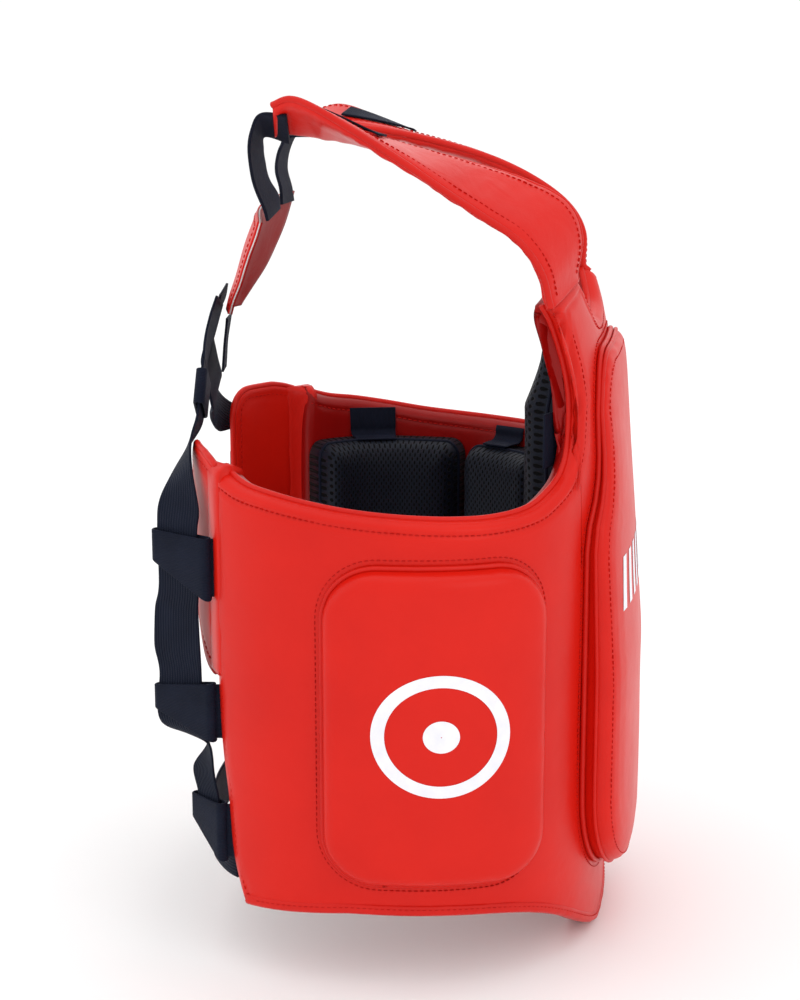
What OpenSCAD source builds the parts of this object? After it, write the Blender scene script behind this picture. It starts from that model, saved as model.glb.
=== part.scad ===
// Boxing trainer's body protector: a padded wrap-round shell with a chest pad, side pads,
// shoulder straps, a webbing back harness and mesh comfort cushions. Millimetres.
// The wearer faces -Y, +X is the wearer's left, and the belly hem stands on z = 0.

/* [Shell] */
// Half of the shell's outer width
half_width = 188; // [170:1:205]
// From the torso's centre line to the shell's outer face at the front
front_depth = 172; // [160:1:185]
// From the torso's centre line to the back of the oval that the shell follows
rear_depth = 143; // [135:1:150]
// Squareness of the oval, where 2 is an ellipse
squareness = 2.6; // [2.2:0.1:3]
// Full thickness of the padded wall
wall = 22; // [18:1:26]
// Thickness of the leather and of the lining
skin = 2; // [1:0.5:3]
// Height of the hem band
hem_h = 9; // [7:1:16]
// How far the belly hem hangs below the level that heights are measured from
belly_drop = 46; // [30:1:60]
// Height of the side hems above that level
side_rise = 15; // [8:1:20]
// Height of the rear hems above that level
rear_rise = 8; // [4:1:15]

/* [Chest and armholes] */
// Height of the armhole's lowest point
armhole_z = 312; // [300:1:320]
// Height of the rim at the rear seam
rear_rim_z = 340; // [330:1:345]
// Height of the seam between the chest panel and the shoulder straps
strap_seam_z = 458; // [450:1:465]
// Half of the chest panel's width between the armholes
chest_half = 101; // [98:1:106]
// Height above which the chest panel leans back
chest_bend_z = 390; // [380:1:400]
// How far the chest panel leans back, in degrees
chest_lean = 13; // [8:0.5:14]
// How much lower the left shoulder sits than the right one
left_drop = 12; // [0:1:16]

/* [Pads] */
// How far the front pad stands out over the belly
front_pad_t = 26; // [20:1:30]
// Half of the front pad's width over the belly
front_pad_half = 92; // [88:1:98]
// How far the side pads stand out
side_pad_t = 17; // [12:1:20]
// Length of a side pad along the body
side_pad_l = 148; // [140:1:170]
// Height of a side pad
side_pad_h = 236; // [200:1:245]

/* [Webbing] */
// Width of the harness webbing
webbing_w = 38; // [25:1:40]
// Thickness of the harness webbing
webbing_t = 1.6; // [1:0.1:2]

/* [Hidden] */
centre_y = 20;         // the torso's centre line, behind the origin at the middle of the footprint
seam_angle = 133;      // where the padded wall ends and the rear wings begin, from the front
belly_span = 188;      // half of the width over which the hem hangs below the side hems
belly_flat = 18;       // half of the width over which the belly hem is level
wing_angle = 160;      // where the rear wings end
wall_steps = 48;       // straight facets round the padded wall
gap = 0.4;             // play between pieces that touch
red = [0.86, 0.09, 0.06];
dark_red = [0.62, 0.05, 0.05];
navy = [0.05, 0.07, 0.12];
near_black = [0.03, 0.04, 0.06];
white = [0.92, 0.92, 0.96];
foam_grey = [0.75, 0.75, 0.72];

// ---- plan oval ----

function signed_power(v, p) = sign(v) * pow(abs(v), p);

// Point of the oval at an angle from the front, for the wall face that is `off` outside the skin.
function oval(off, a) = let (depth = cos(a) > 0 ? front_depth : rear_depth)
    [(half_width + off) * signed_power(sin(a), 2 / squareness),
     -(depth + off) * signed_power(cos(a), 2 / squareness)];

function arc_points(off, from, to, steps) = [for (i = [0:steps]) oval(off, from + (to - from) * i / steps)];

module band_2d(inner, outer, from, to, steps) {
    polygon(concat(arc_points(outer, from, to, steps), arc_points(inner, to, from, steps)));
}

module wall_band(inner, outer, low, high, from = -seam_angle, to = seam_angle, steps = wall_steps) {
    translate([0, 0, low]) linear_extrude(high - low) band_2d(inner, outer, from, to, steps);
}

// The band, with everything above `bend` leaning back by `lean` about the skin's front line.
module leaning_band(inner, outer, low, high, bend = chest_bend_z, lean = chest_lean) {
    wall_band(inner, outer, low, bend);
    intersection() {
        translate([0, -front_depth, bend]) rotate([-lean, 0, 0]) translate([0, front_depth, -bend])
            wall_band(inner, outer, bend - 30, high + 20);
        translate([-half_width, -front_depth - 60, bend])
            cube([2 * half_width, front_depth + 20, high - bend]);
    }
}

// A closed outline from its left half, which runs from the middle round to the middle.
function both_halves(half) = concat(half, [for (i = [len(half) - 2:-1:1]) [-half[i][0], half[i][1]]]);

// Shapes below are drawn about the torso's centre line, with z = 0 where belly_drop is measured from.
module about_torso() {
    translate([0, centre_y, belly_drop]) children();
}

module extrude_sideways(half) {
    translate([-half, 0, 0]) rotate([90, 0, 90]) linear_extrude(2 * half) children();
}

module extrude_forwards(length) {
    rotate([90, 0, 0]) linear_extrude(length) children();
}

// A rectangle with round corners in its own plane, from arcs.
module round_rect(w, h, r) {
    translate([r, 0]) square([w - 2 * r, h]);
    translate([0, r]) square([w, h - 2 * r]);
    for (x = [r, w - r], y = [r, h - r]) translate([x, y]) circle(r, $fn = 48);
}

// ---- outline of the wall ----

// Rim height beside the torso, from the rear seam forwards, as [y, z].
function rim_points(grow) = [
    [rear_depth, rear_rim_z + grow], [104, rear_rim_z - 2 + grow], [94, armhole_z + 21 + grow],
    [82, armhole_z + 17 + grow], [62, armhole_z + 14 + grow], [36, armhole_z + 10 + grow],
    [0, armhole_z + 5 + grow], [-37, armhole_z + 2 + grow], [-80, armhole_z + grow],
    [-108, armhole_z + grow], [-130, armhole_z + 3 + grow], [-148, armhole_z + 8 + grow],
    [-front_depth - 40, armhole_z + 16 + grow]
];

module side_outline(grow) {
    polygon(concat(rim_points(grow), [[-front_depth - 40, -belly_drop], [rear_depth, -belly_drop]]));
}

// Rear edge of the padded wall, from the side hem up, as [angle from the front, z].
REAR_EDGE = [[118, 0], [122, 18], [126, 48], [128, 88], [131.4, 135], [seam_angle, 195],
             [seam_angle, 300], [seam_angle - 2, rear_rim_z]];
end_turn = 40;   // direction in plan of the wall's end face

function past_seam(a) = let (p = oval(0, a)) p[1] * cos(end_turn) - p[0] * sin(end_turn);

// What is cut off behind the wall's two rear edges.
module behind_rear_edges() {
    last = len(REAR_EDGE) - 1;
    for (m = [0, 1]) mirror([m, 0, 0]) rotate([0, 0, end_turn]) translate([100, 0, 0]) rotate([90, 0, 90])
        linear_extrude(180) polygon(concat(
            [[80, -10], [past_seam(REAR_EDGE[0][0]), -10]],
            [for (p = REAR_EDGE) [past_seam(p[0]), p[1]]],
            [[past_seam(REAR_EDGE[last][0]), rear_rim_z + 20], [80, rear_rim_z + 20]]));
}

// Hem line seen from the front: it hangs down over the belly.
function hem_z(x) = let (share = min(1, max(0, abs(x) - belly_flat) / (belly_span - belly_flat)))
    -belly_drop + (belly_drop + side_rise) * (1 - cos(180 * share)) / 2;

hem_top = strap_seam_z + 40;   // height of the solids that stand on the hem line

// Everything above the hem line, raised by `lift`.
module hem_outline(lift) {
    steps = 12;
    x_end = half_width + 10;
    low = concat([for (i = [0:steps]) belly_flat + (belly_span - belly_flat) * i / steps], [x_end]);
    polygon(both_halves(concat([[0, hem_z(0) + lift]], [for (x = low) [x, hem_z(x) + lift]],
                               [[x_end, hem_top], [0, hem_top]])));
}

// The hem line's solid: curved over the front half, and falling a little towards the rear seams.
module above_hem(lift) {
    extrude_forwards(front_depth + 60) hem_outline(lift);
    extrude_sideways(half_width + 10) polygon([
        [-0.01, side_rise + lift], [100, rear_rise + lift], [rear_depth + 60, rear_rise + lift],
        [rear_depth + 60, hem_top], [-0.01, hem_top]]);
}

// Half of the chest panel, seen from the front, as [x, z]: armhole edge, strap seam, neckline.
function chest_points(grow, drop) = [
    [0, -belly_drop], [chest_half + 60, -belly_drop], [chest_half + 60, armhole_z + 3 + grow],
    [chest_half + 30 + grow, armhole_z + 9 + grow], [chest_half + 13 + grow, armhole_z + 21 + grow],
    [chest_half + 4 + grow, armhole_z + 36], [chest_half + 1 + grow, armhole_z + 58],
    [chest_half + grow, armhole_z + 105], [chest_half + 5 + grow, strap_seam_z - 16 - drop],
    [chest_half + 12 + grow, strap_seam_z - 2 - drop], [60 - grow, strap_seam_z + 12 - drop],
    [50 - grow, strap_seam_z + 2 + grow - drop], [38 - grow, strap_seam_z - 13 + grow - drop / 2],
    [22 - grow / 2, strap_seam_z - 23 + grow], [0, strap_seam_z - 26 + grow]
];

module chest_outline(grow) {
    right = chest_points(grow, 0);
    left = chest_points(grow, left_drop);
    polygon(concat(left, [for (i = [len(right) - 2:-1:1]) [-right[i][0], right[i][1]]]));
}

module wall_outline(grow) {
    extrude_sideways(half_width + 20) side_outline(grow);
    extrude_forwards(front_depth + 40) chest_outline(grow);
}

module wall_layer(inner, outer) {
    about_torso() difference() {
        intersection() {
            leaning_band(inner, outer, -belly_drop, strap_seam_z + 20);
            wall_outline(0);
            above_hem(skin);
        }
        behind_rear_edges();
    }
}

// ---- padded wall ----

module hem_band() {
    cover = 1.5;
    color(red) about_torso() difference() {
        intersection() {
            wall_band(-wall - cover, cover, -belly_drop, side_rise + hem_h + 1);
            above_hem(0);
        }
        intersection() {
            wall_band(-wall, 0, -belly_drop, side_rise + hem_h + 2);
            above_hem(skin);
        }
        above_hem(hem_h);
        behind_rear_edges();
    }
}

module outer_skin() {
    color(red) wall_layer(-skin, 0);
}

module foam_core() {
    color(foam_grey) wall_layer(skin - wall, -skin);
}

module lining() {
    color(dark_red) wall_layer(-wall, skin - wall);
}

// Folded binding along the rim and the armholes.
module rim_binding() {
    binding_w = 8;
    cover = 1.4;
    color(red) about_torso() difference() {
        intersection() {
            leaning_band(-wall - cover, cover, armhole_z - 60, strap_seam_z - left_drop - 4);
            wall_outline(cover);
        }
        intersection() {
            leaning_band(-wall, 0, armhole_z - 80, strap_seam_z + 20);
            wall_outline(0);
        }
        wall_outline(-binding_w);
        behind_rear_edges();
    }
}

// ---- front pad ----

front_pad_low = 6;
front_pad_high = 414;
front_pad_corner = 84;    // height over which the lower corners curve in
front_pad_chest_half = front_pad_half - 16;
pad_bend_z = 177;         // height above which the pad gets thinner
pad_lean = 4.5;             // lean of its face there

// Half of the front pad's outline, as [x, z], drawn in by `inset`.
function front_pad_points(inset) = let (r = 40, power = 0.8)
    concat(
        [for (a = [0:10:90])
            [(front_pad_half - inset) * pow(sin(a), power),
             front_pad_low + front_pad_corner - (front_pad_corner - inset) * pow(cos(a), power)]],
        [[front_pad_half - inset, armhole_z - 37], [front_pad_half - 3 - inset, armhole_z - 24],
         [front_pad_chest_half + 1 - inset, armhole_z - 4],
         [front_pad_chest_half - 5 - inset, armhole_z + 14],
         [front_pad_chest_half - 5 - inset, armhole_z + 33]],
        [for (a = [0:15:90]) [front_pad_chest_half - r + (r - inset) * cos(a),
                              front_pad_high - r + (r - inset) * sin(a)]],
        [[0, front_pad_high - inset]]);

// Between the wall face `inner` outside the skin and the pad face `outer` outside it.
module front_block(inner, outer, inset) {
    difference() {
        intersection() {
            leaning_band(-wall - 20, outer, 0, strap_seam_z, pad_bend_z, pad_lean);
            extrude_forwards(front_depth + 60) polygon(both_halves(front_pad_points(inset)));
        }
        leaning_band(-wall - 80, inner, -10, strap_seam_z + 20);
    }
}

module front_pad_foam() {
    color(foam_grey) about_torso() front_block(0, front_pad_t - skin, skin);
}

module front_pad_cover() {
    color(red) about_torso() difference() {
        front_block(0, front_pad_t, 0);
        front_block(-1, front_pad_t - skin, skin);
    }
}

// A cord round the foot of the pad.
module front_pad_piping() {
    cord = 6;
    color(red) about_torso() intersection() {
        leaning_band(0, cord, 0, strap_seam_z);
        difference() {
            extrude_forwards(front_depth + 60) polygon(both_halves(front_pad_points(-cord / 2)));
            extrude_forwards(front_depth + 60) polygon(both_halves(front_pad_points(0)));
        }
    }
}

// A row of plain slanted bars across the chest.
module front_pad_print() {
    bars = 7;
    color(white) about_torso() intersection() {
        leaning_band(front_pad_t, front_pad_t + 0.5, 0, strap_seam_z, pad_bend_z, pad_lean);
        extrude_forwards(front_depth + 60) for (i = [0:bars - 1])
            translate([(i - (bars - 1) / 2) * 20, 0]) polygon([[-6, 222], [4, 222], [10, 262], [0, 262]]);
    }
}

// ---- side pads ----

side_pad_front = -132;   // front end, from the torso's centre line
side_pad_low = 43;
side_pad_r = 38;

module side_outline_rect(inset) {
    translate([side_pad_front + inset, side_pad_low + inset])
        round_rect(side_pad_l - 2 * inset, side_pad_h - 2 * inset, side_pad_r - inset);
}

// One side: s is -1 for the wearer's right and 1 for the left.
module side_block(s, inner, outer, inset) {
    intersection() {
        wall_band(inner, outer, 0, armhole_z);
        mirror([s > 0 ? 0 : 1, 0, 0]) rotate([90, 0, 90])
            linear_extrude(half_width + 40) side_outline_rect(inset);
    }
}

module side_pad_foam(s) {
    color(foam_grey) about_torso() side_block(s, 0, side_pad_t - skin, skin);
}

module side_pad_cover(s) {
    color(red) about_torso() difference() {
        side_block(s, 0, side_pad_t, 0);
        side_block(s, -1, side_pad_t - skin, skin);
    }
}

module side_pad_piping(s) {
    color(red) about_torso() difference() {
        side_block(s, 0, 5, -3);
        side_block(s, -1, 6, 0);
    }
}

// A plain target ring with a dot.
module side_pad_print(s) {
    ring_r = 46;
    ring_w = 9;
    middle = [side_pad_front + side_pad_l / 2, side_pad_low + side_pad_h / 2];
    color(white) about_torso() intersection() {
        wall_band(side_pad_t, side_pad_t + 0.5, 0, armhole_z);
        mirror([s > 0 ? 0 : 1, 0, 0]) rotate([90, 0, 90]) linear_extrude(half_width + 40) translate(middle) {
            difference() {
                circle(ring_r, $fn = 72);
                circle(ring_r - ring_w, $fn = 72);
            }
            circle(12, $fn = 48);
        }
    }
}

// ---- rear wings ----

wing_t = 6;
wing_start = seam_angle + 1.6;
wing_top = rear_rim_z + 5;
wing_axis = oval(-wing_t, wing_start);

// How far a wing's free edge stands out from the oval. The left one stands out further.
function wing_flare(s) = s > 0 ? 14 : 3;

function wing_face(s, off) = [for (i = [0:14]) let (share = i / 14)
    oval(off + wing_flare(s) * share, wing_start + (wing_angle - wing_start) * share)];

// The wing seen from behind, as [x, z] on the wearer's left.
function wing_points(inset) = let (r = 22, edge = oval(0, wing_angle)[0])
    concat(
        [[half_width, rear_rim_z - 3 - inset], [wing_axis[0] - 6, rear_rim_z - 2 - inset],
         [wing_axis[0] - 20, wing_top - 1 - inset]],
        [for (a = [90:18:180]) [edge + r + (r - inset) * cos(a), wing_top - r + (r - inset) * sin(a)]],
        [for (a = [180:18:216]) [edge + r + (r - inset) * cos(a), 252 + (r - inset) * sin(a)]],
        [[half_width - 42, 186 + 1.3 * inset], [half_width, 170 + inset]]);

module wing_plan(s, inner, outer) {
    outside = wing_face(s, outer);
    inside = wing_face(s, inner);
    mirror([s > 0 ? 0 : 1, 0]) {
        polygon(concat(outside, [for (i = [len(inside) - 1:-1:0]) inside[i]]));
        translate(oval((inner + outer) / 2, wing_start)) circle((outer - inner) / 2, $fn = 32);
    }
}

module wing_solid(s, inner, outer, inset) {
    intersection() {
        translate([0, 0, 150]) linear_extrude(wing_top - 150 + 10) wing_plan(s, inner, outer);
        translate([0, rear_depth + 40, 0]) extrude_forwards(rear_depth) mirror([s > 0 ? 0 : 1, 0])
            polygon(wing_points(inset));
    }
}

module wing(s) {
    color(red) about_torso() wing_solid(s, -1.5 * wing_t, -0.5 * wing_t, 0);
}

// Binding round the wing's free edges. It stops short of the hinge line.
module wing_binding(s) {
    cover = 1;
    color(red) about_torso() intersection() {
        difference() {
            wing_solid(s, -1.5 * wing_t - cover, -0.5 * wing_t + cover, -cover);
            wing_solid(s, -1.5 * wing_t, -0.5 * wing_t, 0);
            wing_solid(s, -2 * wing_t - 4, 4, 7);
        }
        translate([s > 0 ? 0 : -wing_axis[0] + 8, 0, 0])
            cube([wing_axis[0] - 8, rear_depth + 40, wing_top + 20]);
    }
}

// ---- webbing loops at the rear seam ----

// Each loop: [seam end, outer end, seam low z, seam high z, outer low z, outer high z], on the left side.
LOOPS = [
    [[148, 112], [128, 152], 240, 286, 261, 286],
    [[149, 110], [128, 153], 131, 175, 146, 166],
    [[154.7, 101.8], [132, 125], 40, 84, 62, 82]
];
loop_t = 2;
loop_slot = 5.5;

module stadium(p, q, r) {
    d = q - p;
    translate(p) rotate(atan2(d[1], d[0])) {
        translate([0, -r]) square([norm(d), 2 * r]);
        circle(r, $fn = 32);
        translate([norm(d), 0]) circle(r, $fn = 32);
    }
}

module webbing_loop(s, index) {
    l = LOOPS[index];
    outer_r = loop_slot / 2 + loop_t;
    span = norm(l[1] - l[0]);
    reach = outer_r + 1;
    color(near_black) about_torso() mirror([s > 0 ? 0 : 1, 0, 0]) difference() {
        translate([0, 0, l[2] - 1]) linear_extrude(l[5] - l[2] + 3) stadium(l[0], l[1], outer_r);
        translate([0, 0, l[2] - 2]) linear_extrude(l[5] - l[2] + 6) stadium(l[0], l[1], loop_slot / 2);
        // the sloping lower and upper edges
        translate([l[0][0], l[0][1], 0]) rotate([0, 0, atan2(l[1][1] - l[0][1], l[1][0] - l[0][0])])
            rotate([90, 0, 0]) translate([0, 0, -reach]) linear_extrude(2 * reach) {
                polygon([[-reach, l[2] - 20], [span + reach, l[2] - 20], [span + reach, l[4]],
                    [0, l[2]], [-reach, l[2]]]);
                polygon([[-reach, l[5] + 20], [span + reach, l[5] + 20], [span + reach, l[5]],
                    [0, l[3]], [-reach, l[3]]]);
            }
    }
}

// ---- ribbons: straps, bands and webbing as thin sheets between two edges ----

function spline(p, t) = 0.5 * (2 * p[1] + (p[2] - p[0]) * t + (2 * p[0] - 5 * p[1] + 4 * p[2] - p[3]) * t * t
    + (3 * p[1] - p[0] - 3 * p[2] + p[3]) * t * t * t);

function smooth(pts, k) = let (n = len(pts) - 1)
    concat([for (i = [0:n - 1], j = [0:k - 1])
                spline([pts[max(i - 1, 0)], pts[i], pts[i + 1], pts[min(i + 2, n)]], j / k)], [pts[n]]);

function unit(v) = v / norm(v);

// Corner points of the ribbon's section in each row: the edges `a` and `b`, and half the thickness each way.
function ribbon_rows(a, b, t) = let (n = len(a) - 1)
    [for (i = [0:n])
        let (along = (a[min(i + 1, n)] + b[min(i + 1, n)]) - (a[max(i - 1, 0)] + b[max(i - 1, 0)]),
             up = unit(cross(along, b[i] - a[i])) * t / 2)
        [a[i] + up, b[i] + up, b[i] - up, a[i] - up]];

// Closed solid through rows of points that go round a section.
module loft(rows) {
    n = len(rows);
    m = len(rows[0]);
    points = [for (r = rows) for (p = r) p];
    sides = [for (i = [0:n - 2], j = [0:m - 1])
        let (p = i * m + j, q = i * m + (j + 1) % m)
        each [[p, q, p + m], [q, q + m, p + m]]];
    first = [for (j = [1:m - 2]) [0, j + 1, j]];
    last = [for (j = [1:m - 2]) [(n - 1) * m, (n - 1) * m + j, (n - 1) * m + j + 1]];
    polyhedron(points, concat(sides, first, last));
}

module ribbon(a, b, t, k = 3) {
    loft(ribbon_rows(smooth(a, k), smooth(b, k), t));
}

function moved(pts, s) = [for (p = pts) [s * p[0], p[1] + centre_y, p[2] + belly_drop]];

// ---- shoulder straps ----

strap_t = 12;
// Armhole edge and neck edge of each strap, drawn on the left, from the chest seam over the shoulder.
RIGHT_ARM = [[112, -132, 460], [116, -126, 482], [118, -110, 503], [118, -84, 520], [116, -55, 538],
             [113, -27, 556], [108, 9, 577], [101, 38, 592], [94, 56, 597], [88, 70, 592]];
RIGHT_NECK = [[60, -146, 474], [58, -149, 500], [57, -139, 522], [56, -112, 536], [56, -75, 547],
              [56, -35, 557], [53, 8, 565], [49, 44, 569], [46, 64, 571], [44, 78, 568]];
LEFT_ARM = [[112, -130, 448], [116, -124, 470], [118, -108, 488], [118, -84, 505], [116, -55, 522],
            [113, -27, 538], [108, 9, 556], [101, 38, 571], [94, 56, 576], [88, 70, 571]];
LEFT_NECK = [[60, -142, 462], [58, -142, 486], [57, -131, 506], [56, -108, 524], [56, -75, 540],
             [56, -35, 552], [53, 8, 561], [49, 44, 565], [46, 64, 566], [44, 78, 562]];

function strap_arm(s) = s > 0 ? LEFT_ARM : RIGHT_ARM;
function strap_neck(s) = s > 0 ? LEFT_NECK : RIGHT_NECK;

module shoulder_strap(s) {
    a = moved(strap_arm(s), s);
    b = moved(strap_neck(s), s);
    color(red) if (s > 0) ribbon(a, b, strap_t); else ribbon(b, a, strap_t);
}

// A round cord along one edge.
module edge_tube(pts, r) {
    path = smooth(pts, 3);
    n = len(path) - 1;
    sides = 8;
    rows = [for (i = [0:n])
        let (along = unit(path[min(i + 1, n)] - path[max(i - 1, 0)]),
             side = unit(cross(along, [0.3, 0.2, 1])), up = cross(along, side))
        [for (j = [0:sides - 1]) path[i] + r * (cos(360 * j / sides) * side - sin(360 * j / sides) * up)]];
    loft(rows);
}

module strap_piping(s) {
    color(red) {
        edge_tube(moved(strap_arm(s), s), 4);
        edge_tube(moved(strap_neck(s), s), 4);
    }
}

// ---- back yoke: bands, patch and harness ----

// Points across the strap's upper face: `share` runs from the armhole edge to the neck edge.
function on_strap(s, i, share, lift) = let (a = strap_arm(s), b = strap_neck(s),
    along = (a[i + 1] + b[i + 1]) - (a[i - 1] + b[i - 1]),
    up = unit(cross(along, b[i] - a[i])))
    a[i] + share * (b[i] - a[i]) + lift * up;

// Hook-and-loop landing on top of the strap's rear end.
module hook_patch(s) {
    hook_t = 1.6;
    lift = strap_t / 2 + hook_t / 2 + 1.8;
    arm = [for (i = [6:8]) on_strap(s, i, 0.3, lift)];
    neck = [for (i = [6:8]) on_strap(s, i, 0.75, lift)];
    color(near_black) if (s > 0) ribbon(moved(arm, s), moved(neck, s), hook_t, 2);
    else ribbon(moved(neck, s), moved(arm, s), hook_t, 2);
}

// Bands from the strap's rear end down to the patch: outer and inner edge on the left.
RIGHT_BAND_OUT = [[82, 80, 586], [76, 88, 574], [66, 93, 556], [56, 92, 534], [48, 86, 514]];
RIGHT_BAND_IN = [[40, 86, 566], [31, 90, 556], [20, 91, 544], [10, 90, 530], [4, 85, 518]];
LEFT_BAND_OUT = [[82, 79, 566], [75, 86, 558], [66, 90, 546], [56, 90, 532], [48, 85, 518]];
LEFT_BAND_IN = [[40, 86, 558], [31, 89, 552], [21, 90, 544], [12, 89, 534], [6, 85, 522]];

module yoke_band(s) {
    a = moved(s > 0 ? LEFT_BAND_OUT : RIGHT_BAND_OUT, s);
    b = moved(s > 0 ? LEFT_BAND_IN : RIGHT_BAND_IN, s);
    color(near_black) if (s > 0) ribbon(a, b, 2.2); else ribbon(b, a, 2.2);
}

// The patch's right edge, middle and left edge, from the top down.
PATCH_RIGHT = [[-48, 90, 503], [-46, 96, 484], [-40, 104, 465], [-30, 112, 448], [-17, 121, 428]];
PATCH_MID = [[0, 98, 510], [0, 106, 490], [0, 113, 470], [0, 119, 452], [0, 126, 430]];
PATCH_LEFT = [[48, 84, 516], [46, 90, 494], [40, 98, 473], [31, 108, 453], [17, 121, 430]];
patch_t = 2.4;

module patch_sheet(t, shift) {
    k = 3;
    r = smooth([for (p = PATCH_RIGHT) p + shift], k);
    m = smooth([for (p = PATCH_MID) p + shift], k);
    l = smooth([for (p = PATCH_LEFT) p + shift], k);
    n = len(m) - 1;
    rows = [for (i = [0:n])
        let (along = m[min(i + 1, n)] - m[max(i - 1, 0)], up = unit(cross(along, l[i] - r[i])) * t / 2,
             c = [0, centre_y, belly_drop])
        [l[i] + up + c, m[i] + up + c, r[i] + up + c, r[i] - up + c, m[i] - up + c, l[i] - up + c]];
    loft([for (i = [0:n]) [for (j = [0:5]) rows[n - i][j]]]);
}

module back_patch() {
    color(red) patch_sheet(patch_t, [0, 0, 0]);
}

module back_patch_lining() {
    color(dark_red) patch_sheet(1.2, [0, -2.6, -1]);
}

// ---- the keeper and the straight webbing runs ----

keeper_w = 47;
keeper_t = 9;
keeper_h = 27;
run_yaw = 9;      // the right run faces a little outwards

// Middle and lean of each side's straight run, drawn on the wearer's left for both sides.
function run_place(s) = s > 0 ? [[24, 145, 372], -35, 0] : [[57, 134, 374], -28, run_yaw];

// Point on the webbing run: `along` upwards from its middle, `side` towards the outside.
function run_point(s, along, side) = let (c = run_place(s)[0], lean = run_place(s)[1], yaw = run_place(s)[2])
    [c[0] + along * sin(lean) + side * cos(yaw) * cos(lean), c[1] - side * sin(yaw),
     c[2] + along * cos(lean) - side * cos(yaw) * sin(lean)];

module keeper(s) {
    r = keeper_t / 2;
    slot = [webbing_w + 3, 3.6, keeper_h + 10];
    color(near_black) about_torso() mirror([s > 0 ? 0 : 1, 0, 0])
        translate(run_place(s)[0]) rotate([0, run_place(s)[1], 0]) rotate([0, 0, -run_place(s)[2]])
        difference() {
            translate([0, 0, -keeper_h / 2]) linear_extrude(keeper_h)
                stadium([r - keeper_w / 2, 0], [keeper_w / 2 - r, 0], r);
            cube(slot, center = true);
        }
}

// ---- webbing routes, as edge points from the top down ----

// Patch foot to above the straight run: outer edge and inner edge.
HARNESS_RIGHT_OUT = [[28, 128, 444], [44, 130, 430]];
HARNESS_RIGHT_IN = [[-2, 131, 432], [9, 134, 414]];
HARNESS_LEFT_OUT = [[22, 134, 434], [22, 140, 422]];
HARNESS_LEFT_IN = [[-4, 135, 426], [-9, 141, 407]];
TAIL_OUT = [[30, 131, 420], [33, 135, 399], [34, 137, 377]];
TAIL_IN = [[8, 129, 420], [10, 132, 399], [11, 134, 377]];
harness_end = 35;    // how far above the run's middle the patch's own webbing ends

module harness_webbing(s) {
    side = webbing_w / 2;
    out = concat(s > 0 ? HARNESS_LEFT_OUT : HARNESS_RIGHT_OUT, [run_point(s, harness_end, side)]);
    in = concat(s > 0 ? HARNESS_LEFT_IN : HARNESS_RIGHT_IN, [run_point(s, harness_end, -side)]);
    color(near_black) if (s > 0) ribbon(moved(out, s), moved(in, s), webbing_t);
    else ribbon(moved(in, s), moved(out, s), webbing_t);
}

module harness_tail() {
    color(near_black) ribbon(moved(TAIL_OUT, 1), moved(TAIL_IN, 1), webbing_t, 2);
}

// A point along a loop's slot, given on the left side.
function slot_point(index, share, z) = let (l = LOOPS[index], p = l[0] + share * (l[1] - l[0]))
    [p[0], p[1], z];

function threaded(index, share, low, high) =
    [slot_point(index, share, high + 2), slot_point(index, share, low)];

near_share = 0.16;
far_share = near_share + webbing_w / norm(LOOPS[0][1] - LOOPS[0][0]);

// Left side of the webbing that runs down through the three loops, after its own upper run.
function lower_run(share, bulge) = concat(
    [[slot_point(0, share, 320)[0] - 3, slot_point(0, share, 320)[1] - 1, 306]],
    threaded(0, share, 244, 286),
    [slot_point(0, share, 0) + [-3, bulge, 224], slot_point(1, share, 0) + [-2, bulge, 196]],
    threaded(1, share, 136, 174));

// Between the straight run and the first loop: front and rear edge.
RIGHT_TOP_FRONT = [[104, 131, 350], [126, 126, 333]];
RIGHT_TOP_REAR = [[80, 142, 334], [108, 147, 320]];
LEFT_TOP_FRONT = [[62, 151, 358], [88, 156, 345], [116, 148, 328]];
LEFT_TOP_REAR = [[38, 151, 338], [62, 155, 324], [94, 157, 310]];
FOOT_FRONT = [[143, 112, 122], [144, 109, 100]];
FOOT_REAR = [[112, 122, 118], [119, 131, 98]];

module back_webbing(s) {
    foot_share = 0.1;
    foot_end = 0.96;
    side = webbing_w / 2;
    straight = [22, 0, -20];
    front = concat([for (along = straight) run_point(s, along, side)],
        s > 0 ? LEFT_TOP_FRONT : RIGHT_TOP_FRONT,
        lower_run(near_share, 1), FOOT_FRONT, threaded(2, foot_share, 46, 82));
    rear = concat([for (along = straight) run_point(s, along, -side)],
        s > 0 ? LEFT_TOP_REAR : RIGHT_TOP_REAR,
        lower_run(far_share, 4), FOOT_REAR, threaded(2, foot_end, 62, 80));
    color(near_black) if (s > 0) ribbon(moved(front, s), moved(rear, s), webbing_t);
    else ribbon(moved(rear, s), moved(front, s), webbing_t);
}

// One webbing across the small of the back, sewn to both rear seams.
module lower_back_webbing() {
    low = 22;
    high = 60;
    route = [[149.5, 91], [142, 99], [126, 110], [104, 120], [66, 129], [24, 133]];
    half = smooth(route, 3);
    outer = concat(half, [for (i = [len(half) - 1:-1:0]) [-half[i][0], half[i][1]]]);
    inner = [for (i = [len(outer) - 1:-1:0]) outer[i] - [0, webbing_t]];
    color(near_black) about_torso() translate([0, 0, low])
        linear_extrude(high - low) polygon(concat(outer, inner));
}

// ---- mesh cushions ----

cushion_low = 168;
cushion_high = 296;
cushion_t = 38;
cushion_face = -wall - 2;    // outer face of the cushions, inside the lining

module cushion_block(s, from, to, low, high, thick) {
    r = 14;
    color(near_black) about_torso() mirror([s > 0 ? 0 : 1, 0, 0]) {
        wall_band(cushion_face - thick, cushion_face, low + r, high - r, from, to, 14);
        wall_band(cushion_face - thick + r, cushion_face - r / 3, low, high, from + 4, to - 4, 12);
    }
}

// Plan span of each cushion as angles from the front.
side_span = [79, 134];
front_span = [38, 77];

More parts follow.
